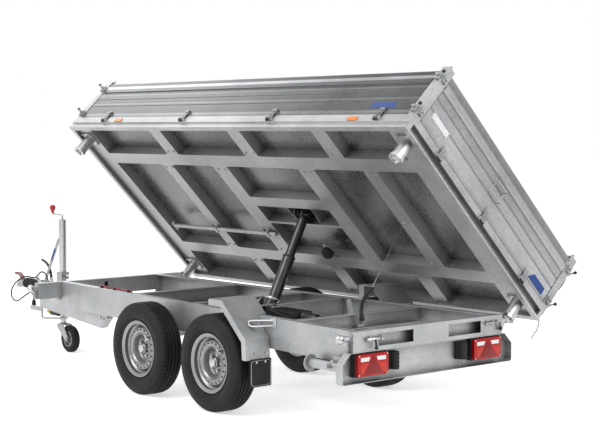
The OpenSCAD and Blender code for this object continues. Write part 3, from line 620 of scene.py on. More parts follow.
def group_with(name: str, inputs: list, outputs: list) -> tuple:
    """Makes an empty shader node group with named sockets.

    Args:
        name: The group's name.
        inputs: Pairs of a socket's name and its default value.
        outputs: Pairs of a socket's name and its socket type.

    Returns:
        The group, its input node and its output node.
    """
    group = bpy.data.node_groups.new(name, "ShaderNodeTree")
    for title, value in inputs:
        kind = "NodeSocketColor" if isinstance(value, tuple) else "NodeSocketFloat"
        socket = group.interface.new_socket(title, in_out="INPUT", socket_type=kind)
        socket.default_value = value
    for title, kind in outputs:
        group.interface.new_socket(title, in_out="OUTPUT", socket_type=kind)
    return group, group.nodes.new("NodeGroupInput"), group.nodes.new("NodeGroupOutput")


def worn_edge_group() -> Tree:
    """Makes the group that masks the edges of a piece, which the zinc finishes lighten as a painted
    highlight.

    Returns:
        A group with Radius and Strength, and the mask Edge.
    """
    group, given, out = group_with("worn_edge", [("Radius", 0.004), ("Strength", 1.0)],
        [("Edge", "NodeSocketFloat")])
    bevel = joined(group, "ShaderNodeBevel", {"samples": 4}, {"Radius": given.outputs["Radius"]})
    geometry = group.nodes.new("ShaderNodeNewGeometry")
    facing = joined(group, "ShaderNodeVectorMath", {"operation": "DOT_PRODUCT"},
        {0: bevel.outputs["Normal"], 1: geometry.outputs["Normal"]})
    away = reckoned(group, "SUBTRACT", 1.0, facing.outputs["Value"])
    scaled = reckoned(group, "MULTIPLY", away, 7.0, clamp=True)
    final = reckoned(group, "MULTIPLY", scaled, given.outputs["Strength"])
    group.links.new(final, out.inputs["Edge"])
    return group


def crevice_group() -> Tree:
    """Makes the group that paints shade into the corners between pieces, from ambient occlusion.

    Returns:
        A group with Reach and Depth, and the colour Shade to multiply with.
    """
    group, given, out = group_with("crevice", [("Reach", 0.07), ("Depth", 0.5)],
        [("Shade", "NodeSocketColor")])
    open_sky = joined(group, "ShaderNodeAmbientOcclusion", {"samples": 6},
        {"Distance": given.outputs["Reach"]})
    lowest = reckoned(group, "SUBTRACT", 1.0, given.outputs["Depth"])
    tone = joined(group, "ShaderNodeMapRange", {}, {"Value": open_sky.outputs["AO"], "To Min": lowest})
    grey = joined(group, "ShaderNodeCombineColor", {}, {"Red": tone.outputs["Result"],
        "Green": tone.outputs["Result"], "Blue": tone.outputs["Result"]})
    group.links.new(grey.outputs["Color"], out.inputs["Shade"])
    return group


def spangle_group() -> Tree:
    """Makes the group for zinc crystals and the clouds over them.

    Returns:
        A group with Crystals and Clouds per metre, and the values Tone and Cloud.
    """
    group, given, out = group_with("zinc_spangle", [("Crystals", 70.0), ("Clouds", 3.0)],
        [("Tone", "NodeSocketFloat"), ("Cloud", "NodeSocketFloat")])
    place = group.nodes.new("ShaderNodeTexCoord")
    cells = joined(group, "ShaderNodeTexVoronoi", {"feature": "F1", "Randomness": 1.0},
        {"Vector": place.outputs["Object"], "Scale": given.outputs["Crystals"]})
    tone = joined(group, "ShaderNodeSeparateColor", {}, {"Color": cells.outputs["Color"]})
    cloud = joined(group, "ShaderNodeTexNoise", {"Detail": 5.0, "Roughness": 0.6},
        {"Vector": place.outputs["Object"], "Scale": given.outputs["Clouds"]})
    group.links.new(tone.outputs["Red"], out.inputs["Tone"])
    group.links.new(cloud.outputs["Fac"], out.inputs["Cloud"])
    return group


def fine_grain_group() -> Tree:
    """Makes the group for fine grain, as on rubber, plastic and paint.

    Returns:
        A group with Grain and Patches per metre, and the values Fine and Patch.
    """
    group, given, out = group_with("fine_grain", [("Grain", 900.0), ("Patches", 6.0)],
        [("Fine", "NodeSocketFloat"), ("Patch", "NodeSocketFloat")])
    place = group.nodes.new("ShaderNodeTexCoord")
    fine = joined(group, "ShaderNodeTexNoise", {"Detail": 3.0}, {"Vector": place.outputs["Object"],
        "Scale": given.outputs["Grain"]})
    patch = joined(group, "ShaderNodeTexNoise", {"Detail": 4.0}, {"Vector": place.outputs["Object"],
        "Scale": given.outputs["Patches"]})
    group.links.new(fine.outputs["Fac"], out.inputs["Fine"])
    group.links.new(patch.outputs["Fac"], out.inputs["Patch"])
    return group


LIGHTENED_EDGE = worn_edge_group()
PAINTED_SHADE = crevice_group()
SPANGLE = spangle_group()
FINE_GRAIN = fine_grain_group()


def grouped(tree: Tree, group: Tree, values: dict) -> Node:
    """Places a node group in a material.

    Args:
        tree: The material's node tree.
        group: The group to place.
        values: The group's input values by name.

    Returns:
        The group node.
    """
    node = tree.nodes.new("ShaderNodeGroup")
    node.node_tree = group
    for key, value in values.items():
        node.inputs[key].default_value = value
    return node


def spread(tree: Tree, socket: Socket, low: float, high: float) -> Socket:
    """Maps a value from 0..1 to a range.

    Args:
        tree: The node tree.
        socket: The value.
        low: Result at 0.
        high: Result at 1.

    Returns:
        The mapped value.
    """
    node = joined(tree, "ShaderNodeMapRange", {"To Min": low, "To Max": high}, {"Value": socket})
    return node.outputs["Result"]


def ramped(tree: Tree, socket: Socket, dark: tuple, light: tuple, ends: tuple = (0.3, 0.7)) -> Socket:
    """Turns a value into a colour between two colours.

    Args:
        tree: The node tree.
        socket: The value.
        dark: Colour at the low end.
        light: Colour at the high end.
        ends: Values at which the two colours stand.

    Returns:
        The colour.
    """
    node = joined(tree, "ShaderNodeValToRGB", {}, {"Fac": socket})
    first, last = node.color_ramp.elements
    first.position, last.position = ends
    first.color = (*dark, 1.0)
    last.color = (*light, 1.0)
    return node.outputs["Color"]


def mixed(tree: Tree, factor: Socket | float, a: Socket, b: Socket | tuple, blend: str = "MIX") -> Socket:
    """Mixes two colours by a factor.

    Args:
        tree: The node tree.
        factor: The share of the second colour, a socket or a number.
        a: The first colour.
        b: The second colour, a socket or a plain colour.
        blend: Blender's blend type.

    Returns:
        The mixed colour.
    """
    node = tree.nodes.new("ShaderNodeMix")
    node.data_type = "RGBA"
    node.blend_type = blend
    if isinstance(factor, float):
        node.inputs[0].default_value = factor
    else:
        tree.links.new(factor, node.inputs[0])
    tree.links.new(a, node.inputs[6])
    if isinstance(b, tuple):
        node.inputs[7].default_value = (*b, 1.0)
    else:
        tree.links.new(b, node.inputs[7])
    return node.outputs[2]


def multiplied(tree: Tree, a: Socket, b: Socket) -> Socket:
    """Multiplies two colours.

    Args:
        tree: The node tree.
        a: The first colour.
        b: The second colour.

    Returns:
        Their product.
    """
    return mixed(tree, 1.0, a, b, "MULTIPLY")


def blank_material(name: str) -> tuple:
    """Makes a material with one Principled BSDF.

    Args:
        name: The material's name.

    Returns:
        The material, its tree and its shader.
    """
    material = bpy.data.materials.new(name)
    material.use_nodes = True
    tree = material.node_tree
    return material, tree, tree.nodes["Principled BSDF"]


def bumped(tree: Tree, shader: Node, height: Socket, strength: float, distance: float) -> None:
    """Feeds a height into the shader's normal.

    Args:
        tree: The node tree.
        shader: The Principled BSDF.
        height: The height, 0 to 1.
        strength: Strength of the bump.
        distance: Depth of the bump in metres.
    """
    bump = joined(tree, "ShaderNodeBump", {"Strength": strength, "Distance": distance}, {"Height": height})
    tree.links.new(bump.outputs["Normal"], shader.inputs["Normal"])


@dataclass(frozen=True)
class Zinc:
    """A galvanised finish with crystals and clouds, a painted highlight on its edges, painted shade in its
    corners and, on the gates, painted reflections in bands.
    """

    name: str
    dark: tuple
    light: tuple
    roughness: tuple
    metallic: float
    crystals: float
    clouds: float = 3.0
    edge: float = 0.35
    # Strength of the shade painted into corners
    crevice: float = 0.55
    # Painted reflections of a gate's rolled profile, as bands of tone
    reflection_bands: tuple = ()
    paint: tuple = ()
    paint_axis: Axis = Axis.Z
    paint_range: tuple = (0.0, 1.0)

    def painted(self, tree: Tree, shader: Node, zinc: Socket) -> None:
        """Coats the part of the piece between two places on an axis with rubber or paint.

        Args:
            tree: The material's node tree.
            shader: The Principled BSDF.
            zinc: Colour of the bare part.
        """
        place = tree.nodes.new("ShaderNodeTexCoord")
        split = joined(tree, "ShaderNodeSeparateXYZ", {}, {"Vector": place.outputs["Object"]})
        along = split.outputs["XYZ".index(self.paint_axis.name)]
        above = reckoned(tree, "GREATER_THAN", along, self.paint_range[0])
        below = reckoned(tree, "LESS_THAN", along, self.paint_range[1])
        inside = reckoned(tree, "MULTIPLY", above, below)
        colour = mixed(tree, inside, zinc, self.paint)
        tree.links.new(colour, shader.inputs["Base Color"])
        bare = joined(tree, "ShaderNodeMapRange", {"To Min": self.metallic, "To Max": 0.0}, {"Value": inside})
        tree.links.new(bare.outputs["Result"], shader.inputs["Metallic"])

    def with_painted_reflections(self, tree: Tree, colour: Socket) -> Socket:
        """Lays painted reflections of the sheet's rolled profile over a gate's colour, as bands of tone from
        its lower edge to its top.

        Args:
            tree: The material's node tree.
            colour: The sheet's colour.

        Returns:
            The banded colour.
        """
        up = turned(Vector((0.0, 0.0, 1.0)), Zone.BED)
        place = tree.nodes.new("ShaderNodeTexCoord")
        height = joined(tree, "ShaderNodeVectorMath", {"operation": "DOT_PRODUCT", 1: tuple(up)},
            {0: place.outputs["Object"]})
        start = up.dot(placed(Vector((0.0, 0.0, TRIM_TOP)), Zone.BED))
        share = joined(tree, "ShaderNodeMapRange", {"From Min": start, "From Max": start + GATE_HEIGHT},
            {"Value": height.outputs["Value"]})
        ramp = joined(tree, "ShaderNodeValToRGB", {}, {"Fac": share.outputs["Result"]})
        stops = ramp.color_ramp.elements
        while len(stops) < len(self.reflection_bands):
            stops.new(0.5)
        for stop, (at, tone) in zip(stops, self.reflection_bands):
            stop.position = at
            stop.color = (tone, tone, tone, 1.0)
        return multiplied(tree, colour, ramp.outputs["Color"])

    def build(self) -> bpy.types.Material:
        """Makes the material.

        Returns:
            The finished material.
        """
        material, tree, shader = blank_material(self.name)
        zinc = grouped(tree, SPANGLE, {"Crystals": self.crystals, "Clouds": self.clouds})
        edge = grouped(tree, LIGHTENED_EDGE, {"Radius": EDGE_RADIUS, "Strength": self.edge})
        tone = ramped(tree, zinc.outputs["Cloud"], self.dark, self.light)
        flake = ramped(tree, zinc.outputs["Tone"], (0.86, 0.86, 0.86), (1.0, 1.0, 1.0), (0.0, 1.0))
        colour = multiplied(tree, tone, flake)
        # Painted reflections: light and dark bands over the gates' sheets
        if self.reflection_bands:
            colour = self.with_painted_reflections(tree, colour)
        # Painted highlight: the edges are lightened towards a pale grey
        colour = mixed(tree, edge.outputs["Edge"], colour, (0.8, 0.81, 0.82))
        # Painted shade: the corners between pieces are darkened by ambient occlusion
        shade = grouped(tree, PAINTED_SHADE, {"Reach": PAINTED_SHADE_REACH, "Depth": self.crevice})
        colour = multiplied(tree, colour, shade.outputs["Shade"])
        tree.links.new(colour, shader.inputs["Base Color"])
        blend = reckoned(tree, "MULTIPLY_ADD", zinc.outputs["Tone"], 0.5, zinc.outputs["Cloud"])
        tree.links.new(spread(tree, blend, *self.roughness), shader.inputs["Roughness"])
        shader.inputs["Metallic"].default_value = self.metallic
        if self.paint:
            self.painted(tree, shader, colour)
        bumped(tree, shader, zinc.outputs["Cloud"], *CLOUD_BUMP)
        return material


@dataclass(frozen=True)
class Grained:
    """A plain coloured finish with fine grain, such as rubber, plastic or paint."""

    name: str
    dark: tuple
    light: tuple
    roughness: tuple
    grain: float = 900.0
    patches: float = 6.0
    depth: float = 0.15
    metallic: float = 0.0
    coat: float = 0.0
    edge: float = 0.0
    specular: float = 0.5
    edge_colour: tuple = (0.3, 0.3, 0.3)

    def build(self) -> bpy.types.Material:
        """Makes the material.

        Returns:
            The finished material.
        """
        material, tree, shader = blank_material(self.name)
        grain = grouped(tree, FINE_GRAIN, {"Grain": self.grain, "Patches": self.patches})
        colour = ramped(tree, grain.outputs["Patch"], self.dark, self.light)
        if self.edge > 0.0:
            edge = grouped(tree, LIGHTENED_EDGE, {"Radius": EDGE_RADIUS, "Strength": self.edge})
            colour = mixed(tree, edge.outputs["Edge"], colour, self.edge_colour)
        tree.links.new(colour, shader.inputs["Base Color"])
        tree.links.new(spread(tree, grain.outputs["Fine"], *self.roughness), shader.inputs["Roughness"])
        shader.inputs["Metallic"].default_value = self.metallic
        shader.inputs["Coat Weight"].default_value = self.coat
        shader.inputs["Specular IOR Level"].default_value = self.specular
        bumped(tree, shader, grain.outputs["Fine"], self.depth, GRAIN_HEIGHT)
        return material


# The painted reflections of the rolled profiles on the gates' sheets, as bands: a share of the height and the
# tone there
SIDE_PAINTED_REFLECTIONS = ((0.0, 0.9), (0.09, 1.9), (0.12, 0.75), (0.36, 0.9), (0.385, 1.7), (0.41, 0.7), (0.62, 0.95),
    (0.645, 1.8), (0.67, 0.7), (0.8, 0.95), (0.825, 3.2), (0.895, 3.4), (0.91, 0.6), (0.97, 0.7), (1.0, 1.9))
TAIL_PAINTED_REFLECTIONS = ((0.0, 0.75), (0.1, 1.15), (0.3, 1.2), (0.335, 0.55), (0.36, 1.1), (0.5, 1.15), (0.53, 0.5),
    (0.56, 1.0), (0.66, 0.95), (0.69, 0.5), (0.72, 1.1), (0.84, 1.15), (0.87, 0.6), (1.0, 0.8))

FINISHES = {
    "galv": Zinc("galvanised_steel", (0.35, 0.36, 0.37), (0.54, 0.55, 0.56), (0.32, 0.5), 0.78, 90.0),
    "galv_bright": Zinc("galvanised_sheet", (0.44, 0.45, 0.46), (0.62, 0.63, 0.64), (0.22, 0.4), 0.88, 55.0,
        1.6),
    "under_frame": Zinc("galvanised_under_frame", (0.34, 0.345, 0.35), (0.52, 0.525, 0.53), (0.26, 0.44),
        0.85, 70.0, 2.0, 0.6, 0.6),
    # The sheet under the bed is much darker than the other zinc: painted shade
    "floor_sheet": Zinc("mirror_zinc_sheet_painted_shade", (0.15, 0.153, 0.157), (0.25, 0.255, 0.26), (0.2, 0.3), 0.92,
        120.0, 1.5, 0.1, 0.55),
    # The gates' sheets carry painted reflections in bands over their tones
    "side_sheet": Zinc("side_gate_sheet", (0.085, 0.088, 0.092), (0.16, 0.165, 0.17), (0.2, 0.36), 0.9,
        60.0, 1.2, 0.5, 0.5, SIDE_PAINTED_REFLECTIONS),
    "tail_sheet": Zinc("end_gate_sheet", (0.3, 0.305, 0.31), (0.44, 0.445, 0.45), (0.22, 0.38), 0.88, 60.0,
        1.6, 0.5, 0.5, TAIL_PAINTED_REFLECTIONS),
    "cast": Zinc("zinc_plated_casting", (0.34, 0.34, 0.33), (0.5, 0.5, 0.49), (0.36, 0.52), 0.75, 200.0),
    "painted_head": Zinc("casting_with_painted_handle", (0.34, 0.34, 0.33), (0.5, 0.5, 0.49), (0.36, 0.52),
        0.75, 200.0, paint=(0.24, 0.13, 0.12), paint_axis=Axis.Z, paint_range=(0.0513, 1.0)),
    "bellows_device": Zinc("casting_with_rubber_bellows", (0.34, 0.34, 0.33), (0.5, 0.5, 0.49),
        (0.36, 0.52), 0.75, 200.0, paint=(0.016, 0.016, 0.017), paint_axis=Axis.X,
        paint_range=(0.2249, 0.4298)),
    "black_rubber": Grained("black_rubber", (0.01, 0.01, 0.011), (0.022, 0.022, 0.023), (0.55, 0.8),
        specular=0.3),
    "black_plastic": Grained("black_plastic", (0.01, 0.01, 0.011), (0.018, 0.018, 0.02), (0.35, 0.5),
        1400.0, specular=0.35),
    "tyre": Grained("tyre_rubber", (0.008, 0.008, 0.008), (0.018, 0.018, 0.0175), (0.5, 0.75), 700.0, 5.0,
        0.25, specular=0.22),
    "rim_silver": Grained("silver_rim_paint", (0.24, 0.245, 0.25), (0.31, 0.315, 0.32), (0.3, 0.4), 2500.0,
        4.0, 0.05, 0.7, 0.15),
    "ram_black": Grained("ram_black_paint", (0.01, 0.01, 0.011), (0.016, 0.016, 0.017), (0.22, 0.32), 300.0,
        8.0, 0.08, 0.0, 0.25, 0.4, 0.3),
    "ram_tube": Grained("dark_ram_tube", (0.045, 0.045, 0.047), (0.07, 0.07, 0.073), (0.16, 0.24), 900.0,
        10.0, 0.03, 0.85),
    "bright_steel": Grained("turned_steel", (0.34, 0.34, 0.335), (0.46, 0.46, 0.455), (0.18, 0.3), 1800.0,
        20.0, 0.05, 0.95),
    "lamp_red": Grained("red_lens", (0.36, 0.003, 0.005), (0.44, 0.005, 0.007), (0.12, 0.18), 200.0, 3.0,
        0.03, 0.0, 0.15, specular=0.3),
    "lamp_deep": Grained("deep_red_lens", (0.2, 0.002, 0.003), (0.27, 0.003, 0.004), (0.12, 0.2), 1500.0,
        3.0, 0.4, 0.0, 0.1, specular=0.3),
    "lamp_white": Grained("white_lens", (0.75, 0.75, 0.74), (0.82, 0.82, 0.81), (0.12, 0.18), 200.0, 3.0,
        0.03, 0.0, 0.6),
    "reflector_orange": Grained("orange_lens", (0.8, 0.21, 0.005), (0.9, 0.28, 0.01), (0.15, 0.22), 200.0,
        3.0, 0.05, 0.0, 0.2, specular=0.3),
    "lamp_orange": Grained("orange_red_lens", (0.52, 0.018, 0.006), (0.62, 0.028, 0.008), (0.12, 0.18),
        200.0, 3.0, 0.03, 0.0, 0.15, specular=0.3),
    "knob_red": Grained("red_knob", (0.4, 0.008, 0.01), (0.5, 0.012, 0.014), (0.3, 0.4), 500.0, 9.0, 0.1,
        0.0, 0.1),
    "red_line": Grained("red_hose", (0.22, 0.012, 0.015), (0.3, 0.02, 0.022), (0.4, 0.6), 700.0, 20.0, 0.2),
    "yellow_cap": Grained("yellow_cap", (0.75, 0.55, 0.02), (0.85, 0.64, 0.03), (0.3, 0.45), 500.0, 9.0, 0.1),
    "white_edge": Grained("white_border", (0.68, 0.68, 0.67), (0.78, 0.78, 0.77), (0.4, 0.55), 700.0, 12.0,
        0.1),
    "blue_patch": Grained("plain_blue_patch", (0.015, 0.05, 0.22), (0.02, 0.06, 0.26), (0.3, 0.4), 500.0,
        3.0, 0.03, specular=0.3),
}
MATERIALS = {name: finish.build() for name, finish in FINISHES.items()}

# The record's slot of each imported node, and the nodes that have a finish of their own
SLOTS = {item["node"]: item["material_slot"] for item in frame["record"]["subparts"]}
SPECIAL = {
    "coupling_head": "painted_head",
    "overrun_device": "bellows_device",
    "bed_floor": "floor_sheet",
    **dict.fromkeys(("bed_long_beams", "bed_cross_beams", "bed_trim"), "under_frame"),
    **dict.fromkeys(("side_left", "side_right"), "side_sheet"),
    **dict.fromkeys(("tailgate", "front_wall"), "tail_sheet"),
    **dict.fromkeys(("ram_stage", "ram_rod"), "ram_tube"),
}


def coat_node(node: str) -> None:
    """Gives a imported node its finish.

    Args:
        node: The node's name.
    """
    shown = frame["nodes"][node]
    shown.data.materials.clear()
    shown.data.materials.append(MATERIALS[SPECIAL.get(node, SLOTS[node])])


@dataclass(frozen=True)
class Heads:
    """Sizes of one kind of bolt head."""

    width: float = 0.019
    height: float = 0.008
    washer: float = 0.0145


# The kinds of bolt heads
SMALL = Heads(0.012, 0.004, 0.0085)
MEDIUM = Heads()
LARGE = Heads(0.03, 0.014, 0.022)
WHEEL_BOLT = Heads(0.0262, 0.0187, 0.016)


@dataclass
class BoltGroup:
    """Bolts of one kind on one body."""

    name: str
    body: str
    kind: Heads = MEDIUM
    zone: Zone = Zone.STANDING
    seed: int = 7
    rows: list = field(default_factory=list)

    def add(self, point: tuple, facing: tuple, size: float = 1.0) -> None:
        """Notes one bolt.

        Args:
            point: Its seat, above the ground.
            facing: Direction that its head faces.
            size: Its size beside the kind's own.
        """
        self.rows.append((placed(Vector(point), self.zone), turned(Vector(facing), self.zone), size))

    def ready(self, finish: str = "galv_bright", slot: str = "galv_bright") -> Piece:
        """Makes the bolts one piece.

        Args:
            finish: Name of the finish.
            slot: The record's material slot; it is not used.

        Returns:
            The piece.
        """
        mesh = bpy.data.meshes.new(self.name + "_places")
        mesh.from_pydata([row[0] for row in self.rows], [], [])
        facing = mesh.attributes.new("facing", "FLOAT_VECTOR", "POINT")
        facing.data.foreach_set("vector", [number for row in self.rows for number in row[1]])
        size = mesh.attributes.new("size", "FLOAT", "POINT")
        size.data.foreach_set("value", [row[2] for row in self.rows])
        made = grown(BOLTS, mesh, {"Head Width": self.kind.width, "Head Height": self.kind.height,
            "Washer": self.kind.washer, "Seed": self.seed, "Finish": MATERIALS[finish]})
        return riding(made, self.name, self.body)


BOLTS = bolt_tree()
ROUND = round_tree()
HOSE = hose_tree()


# Sub-assemblies


@dataclass
class RoadWheels:
    """Treaded tyres, wheel bolts, valves and dust caps."""

    base: float = 0.3172
    pitches: int = 70
    fill: float = 0.9
    bolt_count: int = 5
    bolt_circle: float = 0.056
    valve_circle: float = 0.1445
    valve_angle: float = 0.7
    wall: tuple = ((0.064, 0.1808), (0.0655, 0.196), (0.0668, 0.2015), (0.0735, 0.205), (0.079, 0.2085),
        (0.0808, 0.214), (0.08, 0.217), (0.0868, 0.224), (0.0905, 0.233), (0.092, 0.246),
        (0.0914, 0.258), (0.0922, 0.26), (0.0921, 0.264), (0.0908, 0.266), (0.0896, 0.28),
        (0.087, 0.293), (0.083, 0.303), (0.079, 0.3085), (0.074, 0.313), (0.065, 0.3162))
    shoulder: tuple = ((0.047, 0.312), (0.047, 0.3247), (0.059, 0.3241), (0.069, 0.3214),
        (0.0765, 0.3162), (0.0812, 0.3085), (0.077, 0.305))
    ribs: tuple = ((0.0195, 0.0385, 0.5), (-0.011, 0.011, 0.0), (-0.0385, -0.0195, 0.5))

    def places(self) -> list:
        """Lists each wheel's name, middle and outer side.

        Returns:
            One row for each of the four wheels.
        """
        rows = []
        for end, x in zip(("front", "rear"), AXLES):
            for name, side in (("left", -1), ("right", 1)):
                rows.append((f"{end}_{name}", Vector((x, side * WHEEL_Y, WHEEL_R)), side))
        return rows

    def carcass(self) -> Mesh:
        """Turns the tyre's carcass, with the tread's grooves at its base.

        Returns:
            The carcass, with its axle along Y.
        """
        sketch = Sketch("carcass", "tyre")
        outer = [*self.wall, (0.045, self.base), (-0.045, self.base)]
        sketch.lathe((0, 0, 0), (0, 1, 0), [*outer, *[(-a, r) for a, r in reversed(self.wall)]], 120, True)
        return smoothed_mesh(sketch.shape, "carcass", "tyre", 50.0)

    def tread(self) -> Mesh:
        """Makes one pitch of the tread's blocks and repeats it round the axle.

        Returns:
            The whole tread, with its axle along Y.
        """
        sketch = Sketch("pitch", "tyre")
        step = math.tau / self.pitches
        blocks = [([(a, r) for a, r in self.shoulder], 0.0), ([(-a, r) for a, r in self.shoulder], 0.5)]
        for low, high, shift in self.ribs:
            blocks.append(([(low, 0.312), (low, 0.324), (low + 0.0012, 0.3248), (high - 0.0012, 0.3248),
                (high, 0.324), (high, 0.312)], shift))
        for outline, shift in blocks:
            middle = step * shift
            rings = []
            for angle in (middle - step * self.fill / 2, middle + step * self.fill / 2):
                rings.append([(r * math.cos(angle), a, r * math.sin(angle)) for a, r in outline])
            sketch.rings(rings)
        pitch = smoothed_mesh(sketch.shape, "pitch", "tyre", 30.0)
        return grown(ROUND, pitch, {"Count": self.pitches, "Finish": MATERIALS["tyre"]})

    def build(self) -> None:
        """Makes the four wheels' pieces."""
        carcass = self.carcass()
        tread = self.tread()
        for name, middle, side in self.places():
            shape = bmesh.new()
            shape.from_mesh(carcass)
            shape.from_mesh(tread)
            bmesh.ops.translate(shape, vec=placed(middle, Zone.STANDING), verts=shape.verts)
            tyre = riding(smoothed_mesh(shape, f"treaded_tyre_{name}", "tyre", 32.0),
                f"treaded_tyre_{name}", f"wheel_{name}")
            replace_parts(tyre, f"tyre_{name}")
            self.trim(name, middle, side)
        LOG.info("road wheels: four treaded tyres with bolts, valves and dust caps")

    def trim(self, name: str, middle: Vector, side: int) -> None:
        """Adds a wheel's bolts, valve and dust cap, and a black ring of painted shade behind the rim's slots.

        Args:
            name: The wheel's name.
            middle: Its middle, above the ground.
            side: 1 on the right, -1 on the left.
        """
        body = f"wheel_{name}"
        out = (0, side, 0)
        bolts = BoltGroup(f"wheel_bolts_{name}", body, WHEEL_BOLT)
        for x, z in round_section(self.bolt_circle, self.bolt_count):
            bolts.add(middle + Vector((x, side * 0.002, z)), out)
        bolts.ready()
        cap = Sketch(f"dust_cap_{name}", "galv_bright")
        cap.lathe(middle, out, [(0.03, 0.0), (0.03, 0.0335), (0.0365, 0.0335), (0.0385, 0.0312),
            (0.049, 0.0298), (0.0545, 0.0255), (0.0572, 0.015), (0.0578, 0.0)])
        cap.ready(body, "galv_bright")
        # A black ring right behind the rim's slots: painted shade that makes the slots look dark
        shade = Sketch(f"brake_shield_{name}", "black_rubber")
        shade.lathe(middle, out, [(0.004, 0.094), (0.004, 0.1505), (0.008, 0.1505), (0.008, 0.094)], 64,
            True)
        shade.ready(body, "black_rubber")
        valve = Sketch(f"tyre_valve_{name}", "black_rubber")
        along = Vector((math.cos(self.valve_angle), 0.0, math.sin(self.valve_angle)))
        seat = middle + along * self.valve_circle
        valve.lathe(seat, out, [(0.03, 0.0), (0.03, 0.0075), (0.046, 0.0062), (0.05, 0.0045),
            (0.068, 0.0045), (0.069, 0.0054), (0.079, 0.0054), (0.08, 0.0)], 12)
        valve.ready(body, "black_rubber")


@dataclass
class JockeyGear:
    """Jockey post with its clamp and crank, and the spokes of its wheel."""

    x: float = 0.933
    y: float = -0.125
    top: float = 1.105
    tube_r: float = 0.03
    wheel: tuple = (1.043, -0.125, 0.1125)
    spokes: int = 6

    def build(self) -> None:
        """Makes the jockey's pieces."""
        tube = Sketch("jockey_outer_tube", "galv_bright")
        r = self.tube_r
        tube.lathe((self.x, self.y, 0.0), (0, 0, 1), [(0.43, 0.0), (0.43, r - 0.002), (0.432, r),
            (self.top - 0.016, r), (self.top - 0.015, r + 0.0008), (self.top - 0.003, r + 0.0008),
            (self.top, r - 0.002), (self.top, 0.0)], 48)
        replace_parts(tube.ready("chassis", "galv_bright"), "jockey_post")
        inner = Sketch("jockey_inner_tube", "bright_steel")
        inner.lathe((self.x, self.y, 0.0), (0, 0, 1), [(0.2396, 0.0), (0.2396, 0.0255), (0.45, 0.0255),
            (0.45, 0.0)])
        inner.ready("chassis", "galv_bright")
        self.clamp()
        self.crank()
        self.wheel_spokes()
        LOG.info("jockey gear: post, clamp, crank and spokes")

    def clamp(self) -> None:
        """Makes the clamp that holds the post."""
        clamp = Sketch("jockey_clamp", "cast")
        x, y = self.x, self.y
        clamp.block((x - 0.04, y - 0.0385, 0.4503), (x + 0.04, y - 0.0305, 0.664), 0.002)
        for low, high in ((0.606, 0.628), (0.64, 0.664)):
            clamp.lathe((x, y, low), (0, 0, 1), [(0.0, 0.0295), (0.0, 0.0375), (high - low, 0.0375),
                (high - low, 0.0295)], 40, True)
            for side in (-1, 1):
                clamp.block((x + min(side * 0.034, side * 0.042), y - 0.03, low),
                    (x + max(side * 0.034, side * 0.042), y + 0.036, high), 0.0015)
        clamp.ready("chassis", "galv")
        bolts = BoltGroup("jockey_clamp_bolts", "chassis", MEDIUM)
        for z in (0.617, 0.652):
            bolts.add((x + 0.042, y + 0.018, z), (1, 0, 0), 0.8)
        for z in (0.48, 0.56):
            for dx in (-0.022, 0.022):
                bolts.add((x + dx, y - 0.0385, z), (0, -1, 0), 0.9)
        bolts.ready()
        handle = Sketch("jockey_clamp_handle", "black_plastic")
        handle.tube([(x - 0.03, y + 0.012, 0.635), (x - 0.052, y + 0.012, 0.635)], 0.006)
        handle.tube([(x - 0.054, y - 0.018, 0.622), (x - 0.056, y + 0.012, 0.635),
            (x - 0.054, y + 0.034, 0.648)], 0.0065)
        handle.ready("chassis", "black_plastic")

    def crank(self) -> None:
        """Makes the bent crank with its red knob."""
        x, y = self.x, self.y
        rod = Sketch("jockey_crank", "bright_steel")
        rod.lathe((x, y, self.top), (0, 0, 1), [(0.0, 0.0), (0.0, 0.013), (0.004, 0.0125), (0.006, 0.009),
            (0.006, 0.0)], 24)
        high = self.top + 0.037
        bend = [(x, y, self.top), (x, y, high - 0.01), (x - 0.002, y, high - 0.004), (x - 0.008, y, high),
            (x - 0.146, y, high + 0.002), (x - 0.154, y, high + 0.005), (x - 0.157, y, high + 0.013),
            (x - 0.157, y, high + 0.03)]
        rod.tube(bend, 0.0068)
        rod.ready("chassis", "galv_bright")
        knob = Sketch("jockey_crank_knob", "knob_red")
        knob.lathe((x - 0.157, y, self.top + 0.023), (0, 0, 1), [(0.024, 0.0), (0.024, 0.0105),
            (0.034, 0.012), (0.042, 0.0135), (0.052, 0.02), (0.066, 0.0245), (0.08, 0.0235),
            (0.089, 0.017), (0.093, 0.008), (0.0925, 0.0)], 28)
        knob.ready("chassis", "lamp_red")

    def wheel_spokes(self) -> None:
        """Makes the spokes of the small wheel's rim."""
        spoke = Sketch("spoke", "rim_silver")
        spoke.prism([(0.018, -0.0045), (0.0555, -0.0032), (0.0555, 0.0032), (0.018, 0.0045)], Axis.Y,
            -0.022, 0.022, 0.0012)
        mesh = grown(ROUND, smoothed_mesh(spoke.shape, "spoke", "rim_silver"),
            {"Count": self.spokes, "Finish": MATERIALS["rim_silver"]})
        mesh.transform(Matrix.Translation(placed(self.wheel, Zone.STANDING)))
        riding(mesh, "jockey_wheel_spokes", "jockey_wheel")
        hub = Sketch("jockey_axle_nuts", "galv_bright")
        for side in (-1, 1):
            hub.lathe((self.wheel[0], self.wheel[1] + side * 0.0425, self.wheel[2]), (0, side, 0),
                [(0.0, 0.0), (0.0, 0.0125), (0.0045, 0.0125), (0.0048, 0.0115), (0.0048, 0.0)], 6)
        hub.ready("jockey_swivel_body", "galv")


